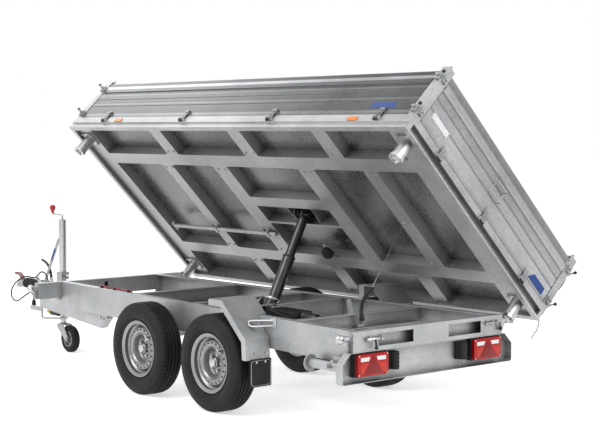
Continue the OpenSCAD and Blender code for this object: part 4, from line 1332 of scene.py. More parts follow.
@dataclass
class LeadCord:
    """The free lead from its gland round the coupling to its parked plug."""

    diameter: float = 0.012
    route: tuple = ((668, -102, 474), (665, -102, 512), (654, -102, 556), (633, -102, 595),
        (602, -102, 623), (563, -102, 634), (524, -103, 627), (490, -103, 606), (460, -104, 586),
        (424, -105, 575), (386, -106, 573), (350, -107, 575), (310, -109, 575), (270, -112, 570),
        (230, -115, 559), (192, -118, 544), (155, -120, 525), (120, -121, 502), (86, -122, 475),
        (60, -122, 444), (49, -121, 409), (58, -120, 376), (86, -118, 353), (124, -116, 345),
        (161, -114, 354), (195, -112, 371), (230, -110, 387), (265, -109, 404), (300, -108, 420),
        (332, -107, 433), (362, -106, 440), (381, -106, 437), (397, -105, 427), (408, -105, 411),
        (412, -105, 393), (412, -105, 382))

    def build(self) -> None:
        points = [(x / 1000, y / 1000, z / 1000) for x, y, z in self.route]
        path = smooth_path(points, 5)
        cord = Sketch("lead_cord", "black_rubber")
        cord.tube(path, self.diameter / 2, 14)
        piece = cord.ready("chassis", "black_rubber")
        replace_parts(piece, "lead")
        relief = self.relief(path)
        plug = self.plug(points[-1])

    def relief(self, path: list) -> Piece:
        """Makes the tapered strain relief with its gland nut.

        Args:
            path: The cord's points.

        Returns:
            The piece.
        """
        sketch = Sketch("lead_strain_relief", "black_rubber")
        start = path[0]
        near = [point for point in path if (point - start).length < 0.045]
        fine = []
        for a, b in zip(near, near[1:]):
            for part in range(4):
                fine.append(a + (b - a) * part / 4)
        scales = []
        for number, point in enumerate(fine):
            taper = 1.0 - (point - start).length / 0.052
            scales.append(0.006 + 0.0032 * taper + (0.0008 if number % 4 < 2 else 0.0))
        sketch.swept(fine, round_section(1.0, 16), scales=scales)
        sketch.lathe((start.x, start.y, 0.458), (0, 0, 1), [(0.0, 0.0), (0.0, 0.015), (0.0035, 0.015),
            (0.004, 0.012), (0.0155, 0.012), (0.017, 0.0105), (0.017, 0.0)], 6)
        return sketch.ready("chassis", "black_rubber")

    def plug(self, end: tuple) -> Piece:
        """Makes the plug parked under the cord's end.

        Args:
            end: The cord's last point.

        Returns:
            The piece.
        """
        sketch = Sketch("lead_parked_plug", "black_plastic")
        sketch.lathe(end, (0, 0, -1), [(-0.016, 0.0), (-0.016, 0.0062), (-0.004, 0.0078), (0.0, 0.011),
            (0.003, 0.0135), (0.01, 0.014), (0.012, 0.0165), (0.058, 0.0168), (0.062, 0.019),
            (0.07, 0.0205), (0.082, 0.0208), (0.0838, 0.0195), (0.0838, 0.0)], 36)
        for dx, dy in round_section(0.0163, 12):
            x = end[0] + dx
            y = end[1] + dy
            sketch.swept([(x, y, end[2] - 0.016), (x, y, end[2] - 0.054)],
                flat_section(0.0035, 0.0035, 0.0008), (1, 0, 0))
        sketch.block((end[0] - 0.024, end[1] - 0.006, end[2] - 0.074), (end[0] - 0.016, end[1] + 0.006,
            end[2] - 0.05), 0.0015)
        piece = sketch.ready("chassis", "black_plastic")
        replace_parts(piece, "lead_plug")
        return piece


@dataclass
class Nose:
    """Bellows, bolts, patch, valve and stirrup at the drawbar's nose."""

    tube_z: float = 0.498
    bellows: tuple = (0.104, 0.4297)
    folds: int = 14
    brake_y: float = -0.0443

    def build(self) -> None:
        """Makes the nose's pieces."""
        low, high = self.bellows
        boot = Sketch("overrun_bellows", "black_rubber")
        profile = [(0.0002, 0.0256), (0.0002, 0.0365)]
        step = (high - low - 0.006) / self.folds
        for i in range(self.folds):
            at = 0.003 + i * step
            profile += [(at, 0.0362), (at + step * 0.3, 0.0445), (at + step * 0.5, 0.0455),
                (at + step * 0.7, 0.0445)]
        profile += [(high - low - 0.003, 0.0362), (high - low, 0.0362), (high - low, 0.0256)]
        boot.lathe((low, 0, self.tube_z), (1, 0, 0), profile, 40, True)
        boot.ready("chassis", "black_rubber", 60.0)
        bolts = BoltGroup("overrun_bolts", "chassis", LARGE)
        for x in (0.635, 0.755):
            for y in (-0.105, 0.105):
                bolts.add((x, y, 0.4577), (0, 0, 1), 0.8)
        bolts.ready()
        self.handbrake()
        self.stirrup()
        self.valve()
        self.cable()
        LOG.info("nose: bellows, bolts, lever patch, stirrup, valve and safety cable")

    def handbrake(self) -> None:
        """Makes the handbrake: toothed plate, long lever with its patch, black grip and strut."""
        y = self.brake_y
        steel = Sketch("handbrake_lever", "cast")
        teeth = [(0.648 + 0.004 * i, 0.5565 + (0.004 if i % 2 else 0.0) - 0.0032 * i) for i in range(11)]
        steel.prism([(0.585, 0.47), (0.695, 0.48), (0.695, 0.52), *reversed(teeth), (0.645, 0.56),
            (0.48, 0.55), (0.46, 0.52)], Axis.Y, y - 0.008, y, 0.001)
        steel.prism([(0.49, 0.526), (0.52, 0.514), (0.7685, 0.9155), (0.764, 0.93), (0.75, 0.9345),
            (0.7405, 0.929)], Axis.Y, y - 0.0143, y - 0.0083, 0.002)
        steel.tube([(0.586, y + 0.006, 0.592), (0.64, y + 0.006, 0.536), (0.684, y + 0.006, 0.492)],
            0.0075, 12)
        piece = steel.ready("chassis", "galv")
        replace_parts(piece, "handbrake")
        grip = Sketch("handbrake_grip", "black_plastic")
        line = smooth_path([(0.6, y + 0.008, 0.56), (0.592, y + 0.008, 0.59), (0.584, y + 0.008, 0.622),
            (0.569, y + 0.008, 0.655), (0.545, y + 0.008, 0.684), (0.512, y + 0.008, 0.706),
            (0.478, y + 0.008, 0.72), (0.446, y + 0.008, 0.727)], 4)
        scales = [1.0 + 0.07 * math.sin(i * 1.6) for i in range(len(line))]
        grip.swept(line, flat_section(0.0165, 0.024, 0.006), (0, 1, 0), scales=scales)
        grip.ready("chassis", "black_plastic")
        start = Vector((0.505, 0.0, 0.52))
        along = Vector((0.215, 0.0, 0.356))
        across = Vector((along.z, 0.0, -along.x)).normalized() * 0.013
        corners = [start + along * 0.61 - across, start + along * 0.61 + across,
            start + along * 0.9 + across, start + along * 0.9 - across]
        patch = Sketch("lever_patch", "blue_patch")
        patch.prism([(corner.x, corner.z) for corner in corners], Axis.Y, y - 0.0151, y - 0.0141)
        patch.ready("chassis")
        pins = BoltGroup("handbrake_pins", "chassis", MEDIUM)
        pins.add((0.512, y - 0.0143, 0.53), (0, -1, 0), 0.9)
        pins.add((0.652, y - 0.008, 0.5), (0, -1, 0), 0.7)
        pins.ready()

    def stirrup(self) -> None:
        """Makes the bent rod under the drawbar's nose."""
        rod = Sketch("nose_stirrup", "bright_steel")
        path = [(0.632, -0.146, 0.3394), (0.63, -0.152, 0.305), (0.64, -0.16, 0.268),
            (0.67, -0.164, 0.255), (0.73, -0.165, 0.257), (0.84, -0.165, 0.266), (1.02, -0.165, 0.284),
            (1.058, -0.167, 0.294), (1.075, -0.17, 0.318), (1.078, -0.175, 0.3394)]
        rod.tube(smooth_path(path, 3), 0.009, 14)
        rod.ready("chassis", "galv_bright")

    def valve(self) -> None:
        """Makes the small valve that hangs under the left beam."""
        body = Sketch("nose_valve", "black_plastic")
        body.block((0.745, -0.142, 0.286), (0.88, -0.104, 0.3394), 0.005)
        body.lathe((0.902, -0.123, 0.312), (-1, 0, 0), [(0.0, 0.0), (0.0, 0.016), (0.022, 0.016),
            (0.024, 0.012), (0.024, 0.0)], 20)
        body.ready("chassis", "black_plastic")
        cap = Sketch("nose_valve_cap", "yellow_cap")
        cap.lathe((0.746, -0.123, 0.31), (-1, 0, 0), [(0.0, 0.0), (0.0, 0.0225), (0.034, 0.0215),
            (0.04, 0.016), (0.04, 0.0)], 24)
        cap.ready("chassis")
        knob = Sketch("nose_valve_knob", "knob_red")
        knob.lathe((0.7065, -0.123, 0.31), (-1, 0, 0), [(0.0, 0.0), (0.0, 0.0105), (0.012, 0.0135),
            (0.022, 0.0125), (0.026, 0.0)], 18)
        knob.ready("chassis", "lamp_red")

    def cable(self) -> None:
        """Makes the thin safety cable clipped between the lever and the head."""
        wire = Sketch("breakaway_cable", "bright_steel")
        path = [(0.478, -0.05, 0.53), (0.44, -0.058, 0.512), (0.36, -0.062, 0.486),
            (0.27, -0.06, 0.468), (0.2, -0.05, 0.463), (0.16, -0.036, 0.472), (0.15, -0.034, 0.486)]
        wire.tube(smooth_path(path, 4), 0.0016, 8)
        wire.ready("chassis", "galv_bright")


@dataclass
class ChassisTrim:
    """Bolts, hose line, stays, parked pin and lock bar on the chassis."""

    beam_start: tuple = (0.6, 0.155)
    beam_slope: float = 0.2224
    ball_seat: tuple = (0.691, 0.666)

    def build(self) -> None:
        """Makes the chassis's small pieces."""
        self.bolts()
        self.red_line()
        self.fender_stays()
        self.parked_pin()
        self.lock_bar()
        LOG.info("chassis trim: bolts, hose line, stays, parked pin and lock bar")

    def bolts(self) -> None:
        """Sets the chassis's bolts and rivets."""
        group = BoltGroup("chassis_bolts", "chassis", MEDIUM)
        for side in (-1, 1):
            for x in (2.075, 2.135):
                outer = self.beam_start[1] + (x - self.beam_start[0]) * self.beam_slope
                group.add((x, side * outer, 0.418), (0.2, side, 0))
            for axle in AXLES:
                for dx in (-0.05, 0.05):
                    x = axle - 0.15 + dx
                    group.add((x, side * (frame_half(x) - 0.022), 0.4555), (0, 0, 1))
            for x in BALL_X:
                half = self.ball_seat[0] if x == BALL_X[0] else self.ball_seat[1]
                for angle in (0.6, 2.54):
                    group.add((x + 0.021 * math.cos(angle), side * half, 0.61 + 0.021 * math.sin(angle)),
                        (0, side, 0), 0.5)
            for y in (0.345, 0.7):
                group.add((5.0785, side * y, 0.36), (1, 0, 0), 0.6)
        group.ready()
        rivets = BoltGroup("fender_rivets", "chassis", SMALL)
        for side in (-1, 1):
            for y in (0.73, 0.64):
                rivets.add((4.2762, side * y, 0.425), (1, 0, 0))
            for y in (0.722, 0.652):
                rivets.add((4.2823, side * y, 0.372), (1, 0, 0))
            rivets.add((3.905, side * 0.56, 0.7525), (0, 0, 1))
            rivets.add((3.925, side * 0.56, 0.7525), (0, 0, 1))
        rivets.ready()

    def red_line(self) -> None:
        """Makes the red hose that is clipped along the left rail."""
        hose = Sketch("red_hose_line", "red_line")
        path = []
        for i in range(19):
            x = 2.02 + 0.026 * i
            path.append((x, -frame_half(x) + 0.046 + 0.004 * math.sin(i * 1.1),
                0.6568 + 0.003 * (1 + math.sin(i * 0.9))))
        hose.tube(smooth_path(path, 2), 0.0068, 12)
        hose.ready("chassis")
        clips = Sketch("hose_clips", "black_plastic")
        for x in (2.06, 2.25, 2.45):
            y = -frame_half(x) + 0.046
            clips.block((x - 0.008, y - 0.014, 0.6502), (x + 0.008, y + 0.014, 0.6675), 0.003)
        clips.ready("chassis", "black_plastic")

    def fender_stays(self) -> None:
        """Makes the bent stays between the rails and the fenders' slopes."""
        stays = Sketch("fender_stays", "galv_bright")
        for side in (-1, 1):
            loop = [(4.306, side * 0.604, 0.634), (4.262, side * 0.632, 0.632),
                (4.216, side * 0.662, 0.629), (4.182, side * 0.688, 0.626), (4.174, side * 0.7, 0.62),
                (4.184, side * 0.707, 0.608), (4.2, side * 0.71, 0.597), (4.216, side * 0.702, 0.594),
                (4.252, side * 0.672, 0.597), (4.29, side * 0.632, 0.601), (4.318, side * 0.604, 0.603)]
            stays.tube(smooth_path(loop, 3), 0.0065, 12)
            stays.block((4.282, min(side * 0.6035, side * 0.6095), 0.585),
                (4.342, max(side * 0.6035, side * 0.6095), 0.652), 0.002)
        stays.ready("chassis", "galv")

    def parked_pin(self) -> None:
        """Makes the locking pin parked on the rear crossmember's face."""
        pin = Sketch("parked_pin", "bright_steel")
        pin.lathe((5.146, -0.566, 0.598), (0, 1, 0), [(0.0, 0.0), (0.0, 0.0085), (0.004, 0.011),
            (0.112, 0.011), (0.112, 0.0165), (0.124, 0.0165), (0.124, 0.011), (0.14, 0.011),
            (0.146, 0.008), (0.146, 0.0)], 24)
        for y in (-0.535, -0.44):
            pin.block((5.1302, y - 0.006, 0.58), (5.146, y + 0.006, 0.616), 0.0015)
        pin.ready("chassis", "galv_bright")
        grip = Sketch("parked_pin_grip", "black_plastic")
        grip.tube([(5.15, -0.5, 0.598), (5.158, -0.5, 0.58), (5.16, -0.498, 0.552)], 0.0065)
        grip.lathe((5.16, -0.498, 0.556), (0, 0, -1), [(0.0, 0.0), (0.0, 0.0085), (0.008, 0.0115),
            (0.018, 0.0105), (0.024, 0.0)], 18)
        grip.ready("chassis", "black_plastic")

    def lock_bar(self) -> None:
        """Makes the lock bar on the rear crossmember's right end."""
        bar = Sketch("lock_bar", "bright_steel")
        bar.tube([(5.143, 0.482, 0.606), (5.143, 0.618, 0.606)], 0.0055)
        for y in (0.505, 0.56, 0.6):
            bar.block((5.1302, y - 0.007, 0.592), (5.143, y + 0.007, 0.62), 0.0015)
        bar.lathe((5.143, 0.535, 0.606), (0, 1, 0), [(-0.014, 0.0), (-0.014, 0.0085), (0.014, 0.0085),
            (0.014, 0.0)], 14)
        bar.ready("chassis", "galv_bright")
        knob = Sketch("lock_bar_knob", "black_plastic")
        knob.tube([(5.143, 0.616, 0.606), (5.146, 0.62, 0.59), (5.148, 0.622, 0.572)], 0.0045)
        knob.lathe((5.148, 0.622, 0.576), (0, 0, -1), [(0.0, 0.0), (0.0, 0.008), (0.007, 0.0125),
            (0.018, 0.0125), (0.025, 0.007), (0.026, 0.0)], 18)
        knob.ready("chassis", "black_plastic")


@dataclass
class RearLights:
    """Lamps with their lens fields, flap borders and the rubber blocks' ribs."""

    lamp_y: tuple = (0.375, 0.64)
    lamp_z: tuple = (0.371, 0.5167)
    face_x: float = 5.1436
    flap_y: float = 0.687
    flap_z: float = 0.302

    def build(self) -> None:
        """Makes the rear lights' pieces."""
        case = Sketch("lamp_cases", "black_plastic")
        lens = Sketch("lamp_lenses", "lamp_red")
        y0, y1 = self.lamp_y
        z0, z1 = self.lamp_z
        for side in (-1, 1):
            a, b = sorted((side * y0, side * y1))
            case.block((5.0785, a, z0), (5.118, b, z1), 0.006)
            middle = (a + b) / 2
            outline = [(middle + u, (z0 + z1) / 2 + v) for u, v in round_corners(0.1275, 0.0675, 0.014)]
            lens.prism(outline, Axis.X, 5.116, self.face_x, 0.0035)
        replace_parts(case.ready("chassis", "black_plastic"), "tail_lamps")
        lens.ready("chassis", "lamp_red")
        self.fields("lamp_whites", "lamp_white", [[(0.11, 0.17), (0.4, 0.17), (0.36, 0.34), (0.11, 0.34)],
            [(0.6, 0.17), (0.89, 0.17), (0.89, 0.34), (0.64, 0.34)]])
        self.fields("lamp_wedges", "lamp_orange", [[(0.1, 0.42), (0.35, 0.42), (0.2, 0.84), (0.1, 0.84)],
            [(0.65, 0.42), (0.9, 0.42), (0.9, 0.84), (0.8, 0.84)]])
        self.fields("lamp_triangles", "lamp_deep", [[(0.5, 0.12), (0.775, 0.86), (0.225, 0.86)]])
        screws = BoltGroup("lamp_screws", "chassis", SMALL)
        for side in (-1, 1):
            for y in (0.392, 0.623):
                for z in (0.386, 0.502):
                    screws.add((self.face_x, side * y, z), (1, 0, 0), 0.6)
        screws.ready()
        self.flap_borders()
        ribs = Sketch("bump_block_ribs", "black_rubber")
        for side in (-1, 1):
            for z in (0.41, 0.435, 0.46, 0.485):
                ribs.lathe((5.112, side * 0.302, z), (0, 0, 1), [(-0.004, 0.0), (-0.004, 0.0305),
                    (-0.002, 0.0325), (0.002, 0.0325), (0.004, 0.0305), (0.004, 0.0)], 36)
        ribs.ready("chassis", "black_rubber")
        LOG.info("rear lights: lamps with lens fields, flap borders and block ribs")

    def fields(self, name: str, finish: str, shapes: list) -> None:
        """Sets raised lens fields on both lamps.

        Args:
            name: The piece's name.
            finish: Name of the finish.
            shapes: Outlines as shares of the lens's width and height, from its upper left corner.
        """
        sketch = Sketch(name, finish)
        for side in (-1, 1):
            low = min(side * self.lamp_y[0], side * self.lamp_y[1])
            for shape in shapes:
                outline = [(low + u * (self.lamp_y[1] - self.lamp_y[0]),
                    self.lamp_z[1] - v * (self.lamp_z[1] - self.lamp_z[0])) for u, v in shape]
                sketch.prism(outline, Axis.X, self.face_x - 0.002, self.face_x + 0.0014, 0.0006)
        sketch.ready("chassis", "lamp_red")

    def flap_borders(self) -> None:
        """Makes the pale border on each mudflap."""
        border = Sketch("flap_borders", "white_edge")
        for side in (-1, 1):
            corners = round_corners(0.079, 0.08, 0.018)
            path = [(4.2826, side * self.flap_y + u, self.flap_z + v) for u, v in corners]
            border.swept(path, flat_section(0.0012, 0.0065, 0.0003), (1, 0, 0), True)
        border.ready("chassis")


@dataclass
class RamTrim:
    """Collar, rings and head of the telescopic ram, in the ram's own directions."""

    foot: tuple = (3.462, 0.07, 0.61)
    lean: float = math.radians(26.487)
    reach: float = 0.7023
    stage_top: float = 0.1825 - 0.07 + 0.2599

    def up(self) -> Vector:
        """Gives the ram's direction.

        Returns:
            A direction of length 1, from the foot to the head.
        """
        return Vector((0.0, math.sin(self.lean), math.cos(self.lean)))

    def build(self) -> None:
        """Makes the ram's pieces."""
        collar = Sketch("ram_collar", "bright_steel")
        collar.lathe(self.foot, self.up(), [(0.0225, 0.0595), (0.0225, 0.064), (0.025, 0.0655),
            (0.04, 0.0655), (0.0435, 0.063), (0.0435, 0.045), (0.04, 0.045), (0.04, 0.058)], 56,
            True)
        collar.ready("ram", "galv_bright")
        wiper = Sketch("ram_stage_ring", "black_plastic")
        top = self.stage_top
        wiper.lathe(self.foot, self.up(), [(top - 0.014, 0.044), (top - 0.014, 0.0465),
            (top - 0.011, 0.0475), (top - 0.002, 0.0475), (top + 0.002, 0.0455), (top + 0.002, 0.0358),
            (top - 0.001, 0.0358), (top - 0.001, 0.044)], 48, True)
        wiper.ready("ram_first", "ram_black")
        head = Sketch("ram_head_collar", "black_plastic")
        head.lathe(self.foot, self.up(), [(self.reach - 0.046, 0.0), (self.reach - 0.046, 0.0335),
            (self.reach - 0.043, 0.0355), (self.reach - 0.03, 0.0355), (self.reach - 0.026, 0.0325),
            (self.reach - 0.026, 0.0)], 40)
        centre = Vector(self.foot) + self.up() * self.reach
        for side in (-1, 1):
            head.lathe(centre + Vector((side * 0.054, 0, 0)), (side, 0, 0),
                [(-0.004, 0.0), (-0.004, 0.0195), (0.0005, 0.0205), (0.0035, 0.0195), (0.0035, 0.0)], 28)
        head.ready("ram_second", "ram_black")
        LOG.info("ram trim: collar, stage ring and head")


@dataclass
class PowerPackTrim:
    """Case, tray, motor, valve block and hoses of the power pack."""

    deck: float = 0.5503
    box: tuple = (3.76, 4.06, -0.23, -0.06)

    def build(self) -> None:
        """Makes the power pack's pieces."""
        x0, x1, y0, y1 = self.box
        case = Sketch("pack_case", "black_plastic")
        case.block((x0 - 0.0005, y0 - 0.0005, self.deck - 0.0001), (x1 + 0.0005, y1 + 0.0005, 0.6305), 0.009)
        for i in range(6):
            x = x0 + 0.045 + 0.042 * i
            case.block((x, y0 + 0.015, 0.63), (x + 0.014, y1 - 0.015, 0.6335), 0.0012)
        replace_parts(case.ready("chassis", "black_plastic"), "power_pack")
        tray = Sketch("pack_tray", "galv")
        tray.block((3.6753, y0 - 0.01, 0.545), (4.4197, y1 + 0.01, 0.5497), 0.001)
        tray.ready("chassis", "galv")
        motor = Sketch("pack_motor", "ram_black")
        motor.lathe((4.075, -0.145, 0.592), (1, 0, 0), [(0.0, 0.0), (0.0, 0.0405), (0.012, 0.0405),
            (0.014, 0.0365), (0.132, 0.0365), (0.138, 0.033), (0.14, 0.0)], 36)
        motor.ready("chassis", "ram_black")
        block = Sketch("pack_valve_block", "bright_steel")
        block.block((3.69, -0.19, self.deck), (3.752, -0.11, 0.606), 0.003)
        for y in (-0.172, -0.15, -0.128):
            block.lathe((3.72, y, 0.606), (0, 0, 1), [(-0.001, 0.0), (-0.001, 0.0095), (0.013, 0.0095),
                (0.014, 0.007), (0.026, 0.007), (0.026, 0.0)], 6)
        block.ready("chassis", "galv_bright")
        self.hoses()
        LOG.info("power pack: case, tray, motor, valve block and hoses")

    def hoses(self) -> None:
        """Makes the hoses that are clamped between the pack, the ram's bearing and the rails."""
        hose = Sketch("pack_hoses", "black_rubber")
        runs = [
            [(3.72, -0.128, 0.628), (3.716, -0.116, 0.64), (3.69, -0.07, 0.64), (3.64, -0.01, 0.634),
                (3.605, 0.04, 0.62), (3.588, 0.07, 0.61)],
            [(3.72, -0.15, 0.628), (3.74, -0.2, 0.64), (3.86, -0.262, 0.634), (4.05, -0.3, 0.612),
                (4.24, -0.335, 0.6), (4.418, -0.36, 0.598)],
            [(3.72, -0.172, 0.628), (3.7, -0.25, 0.64), (3.64, -0.33, 0.622), (3.5, -0.395, 0.6),
                (3.29, -0.43, 0.59)],
        ]
        for run in runs:
            hose.tube(smooth_path(run, 5), 0.0075, 12)
        hose.ready("chassis", "black_rubber")
        ends = Sketch("hose_ferrules", "bright_steel")
        for run in runs:
            ends.lathe(run[0], (0, 0, 1), [(-0.008, 0.0), (-0.008, 0.0092), (0.006, 0.0092),
                (0.008, 0.008), (0.008, 0.0)], 14)
        ends.lathe((3.594, 0.07, 0.61), (-1, 0, 0), [(-0.002, 0.0), (-0.002, 0.011), (0.012, 0.011),
            (0.014, 0.0085), (0.014, 0.0)], 14)
        ends.ready("chassis", "galv_bright")


@dataclass
class LimitLine:
    """The ribbed hose on the crossmember and the taut wire from it to the bed."""

    foot: tuple = ((4.502, 0.0, 0.6), (4.488, 0.0, 0.635), (4.484, 0.0, 0.672), (4.494, 0.0, 0.715),
        (4.52, 0.0, 0.757), (4.556, 0.0, 0.795), (4.594, 0.0, 0.824))
    bed_end: tuple = (4.522, 0.018, 0.768)

    def build(self) -> None:
        """Makes the hose and the wire."""
        line = [placed(point, Zone.STANDING) for point in smooth_path(self.foot, 4)]
        mesh = bpy.data.meshes.new("hose_line")
        mesh.from_pydata(line, [(i, i + 1) for i in range(len(line) - 1)], [])
        made = grown(HOSE, mesh, {"Radius": 0.0105, "Rib Height": 0.0042, "Points": 61,
            "Finish": MATERIALS["black_plastic"]})
        riding(made, "limit_wire_hose", "chassis")
        bracket = Sketch("limit_wire_bracket", "galv")
        bracket.block((4.476, -0.022, 0.56), (4.481, 0.022, 0.6445), 0.001)
        bracket.block((4.48, -0.02, 0.578), (4.512, 0.02, 0.5835), 0.001)
        bracket.ready("chassis", "galv")
        start = line[-1] - (line[-1] - line[-2]).normalized() * 0.02
        end = placed(self.bed_end, Zone.BED)
        wire = Sketch("limit_wire", "bright_steel")
        wire.tube([start + (end - start) * i / 12 for i in range(13)], 0.0028, 10)
        mesh = smoothed_mesh(wire.shape, "limit_wire", "bright_steel")
        piece = bpy.data.objects.new("limit_wire", mesh)
        bpy.context.scene.collection.objects.link(piece)
        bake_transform(piece)
        clip = Sketch("limit_wire_clip", "bright_steel", Zone.BED)
        x, y, z = self.bed_end
        clip.block((x - 0.02, y - 0.012, z - 0.003), (x + 0.02, y + 0.012, z - 0.0003), 0.001)
        clip.lathe((x, y, z - 0.002), (0, 0, -1), [(0.0, 0.0), (0.0, 0.008), (0.01, 0.008), (0.013, 0.005),
            (0.013, 0.0)], 16)
        clip.ready("bed", "galv_bright")
        LOG.info("limit line: ribbed hose, bracket and wire")


@dataclass
class BedTrim:
    """Buffer, strips, bolts, brackets, knobs, wire handle, patches and levers of the bed and its gates."""

    ribs: tuple = (2.445, 3.405, 4.315)
    inner: tuple = (2.255, 2.92, 3.895, 4.54)

    def build(self) -> None:
        """Makes the bed's small pieces."""
        self.buffer()
        self.ram_strips()
        self.bolts()
        self.bar_bracket()
        self.knobs()
        self.wire_handle()
        self.patches()
        self.corner_levers()
        LOG.info("bed trim: buffer, strips, bolts, brackets, knobs, wire handle, patches and levers")

    def buffer(self) -> None:
        """Makes the rubber buffer beside the ram and its plate."""
        rubber = Sketch("bed_buffers", "black_rubber", Zone.BED)
        plate = Sketch("buffer_plates", "galv", Zone.BED)
        middle = (3.468, 0.398, 0.7765)
        rubber.lathe(middle, (0, 0, -1), [(0.006, 0.0), (0.006, 0.033), (0.014, 0.046), (0.03, 0.05),
            (0.048, 0.047), (0.062, 0.037), (0.072, 0.02), (0.0725, 0.0)], 12)
        plate.block((3.418, 0.35, 0.7765), (3.518, 0.4665, 0.7805), 0.001)
        plate.lathe(middle, (0, 0, -1), [(-0.001, 0.0), (-0.001, 0.036), (0.0065, 0.035), (0.0065, 0.0)],
            32)
        rubber.ready("bed", "black_rubber")
        plate.ready("bed", "galv")

    def ram_strips(self) -> None:
        """Makes the two folded strips that frame the ram's head between the inner beams."""
        strips = Sketch("ram_head_strips", "under_frame", Zone.BED)
        low, high = 2.996, 3.818
        strips.prism([(-0.146, BEAM_Z), (-0.05, BEAM_Z), (-0.046, BEAM_Z + 0.004),
            (-0.046, TRIM_TOP - 0.0045), (-0.05, TRIM_TOP - 0.0045), (-0.05, BEAM_Z + 0.004),
            (-0.142, BEAM_Z + 0.004), (-0.142, TRIM_TOP - 0.0045), (-0.146, TRIM_TOP - 0.0045)], Axis.X,
            low, high)
        strips.prism([(0.114, BEAM_Z), (0.134, BEAM_Z), (0.134, BEAM_Z + 0.003),
            (0.117, BEAM_Z + 0.003), (0.117, TRIM_TOP - 0.0045), (0.114, TRIM_TOP - 0.0045)], Axis.X,
            low, high)
        for x in (3.33, 3.59):
            strips.block((x - 0.002, -0.0462, BEAM_Z + 0.012), (x + 0.002, 0.1142, TRIM_TOP - 0.0045))
        strips.ready("bed", "galv")

    def bolts(self) -> None:
        """Sets the bolts of the underframe and the hinges."""
        under = BoltGroup("bed_frame_bolts", "bed", MEDIUM, Zone.BED)
        for side in (-1, 1):
            for x in self.ribs:
                for dx in (-0.045, 0.045):
                    under.add((x + dx, side * 0.835, BEAM_Z), (0, 0, -1), 0.8)
                    under.add((x + dx * 0.9, side * 0.61, BEAM_Z), (0, 0, -1), 0.8)
            for x in self.inner:
                for dx in (-0.04, 0.04):
                    under.add((x + dx, side * 0.435, BEAM_Z), (0, 0, -1), 0.8)
            for x in BALL_X:
                for dx in (-0.052, 0.052):
                    for dy in (-0.052, 0.052):
                        under.add((x + dx, side * (0.74 + dy), BEAM_Z - 0.0103), (0, 0, -1), 0.8)
        under.ready()
        for body, side in (("gate_left", -1), ("gate_right", 1)):
            group = BoltGroup(f"hinge_bolts_{body}", body, SMALL, Zone.BED)
            for x in (1.787, 2.825, 3.837, 4.897):
                for dx in (-0.011, 0.011):
                    group.add((x + dx, side * 0.9055, 0.887), (0, side, 0), 1.1)
            group.ready()
        group = BoltGroup("hinge_bolts_gate_rear", "gate_rear", SMALL, Zone.BED)
        for y in (-0.56, 0.0, 0.56):
            for dy in (-0.011, 0.011):
                group.add((5.2105, y + dy, 0.887), (1, 0, 0), 1.1)
        group.ready()

    def bar_bracket(self) -> None:
        """Makes the brackets that hold the stowed bar."""
        bracket = Sketch("stowed_bar_brackets", "galv_bright", Zone.BED)
        for x in (2.255, 2.905):
            bracket.block((x - 0.014, 0.215, 0.7335), (x + 0.014, 0.265, 0.7372), 0.001)
            for y in (0.2165, 0.26):
                bracket.block((x - 0.014, y, 0.735), (x + 0.014, y + 0.0045, BEAM_Z - 0.0003), 0.001)
            bracket.block((x - 0.02, 0.195, BEAM_Z - 0.0043), (x + 0.02, 0.285, BEAM_Z - 0.0003), 0.001)
        bracket.ready("bed", "galv_bright")

    def knobs(self) -> None:
        """Puts black knobs on the latch levers of the corner posts."""
        knobs = Sketch("latch_knobs", "black_plastic", Zone.BED)
        for end in (-1, 1):
            edge = BED_REAR if end > 0 else BED_FRONT
            for side in (-1, 1):
                for z in (0.896, 1.18):
                    middle = (edge + end * 0.017, side * (BED_HALF + 0.028), z + 0.0215)
                    knobs.lathe(middle, (end * 0.883, 0, 0.47), [(-0.012, 0.0), (-0.012, 0.006),
                        (-0.007, 0.01), (0.0, 0.012), (0.007, 0.01), (0.0105, 0.005), (0.0115, 0.0)],
                        18)
        knobs.ready("bed", "black_plastic")

    def wire_handle(self) -> None:
        """Makes the wire handle on the tailgate."""
        wire = Sketch("tailgate_wire_handle", "bright_steel", Zone.BED)
        y = -0.02
        path = [(5.197, y - 0.055, 1.085), (5.216, y - 0.055, 1.085), (5.2225, y - 0.048, 1.085),
            (5.2235, y - 0.03, 1.085), (5.2235, y + 0.03, 1.085), (5.2225, y + 0.048, 1.085),
            (5.216, y + 0.055, 1.085), (5.197, y + 0.055, 1.085)]
        for drop in (0.0, 0.09):
            wire.tube([(a, b, c - drop) for a, b, c in path], 0.0042, 12)
        for dy in (-0.055, 0.055):
            wire.block((5.1968, y + dy - 0.01, 0.985), (5.1995, y + dy + 0.01, 1.095), 0.0008)
        wire.ready("gate_rear", "galv_bright")

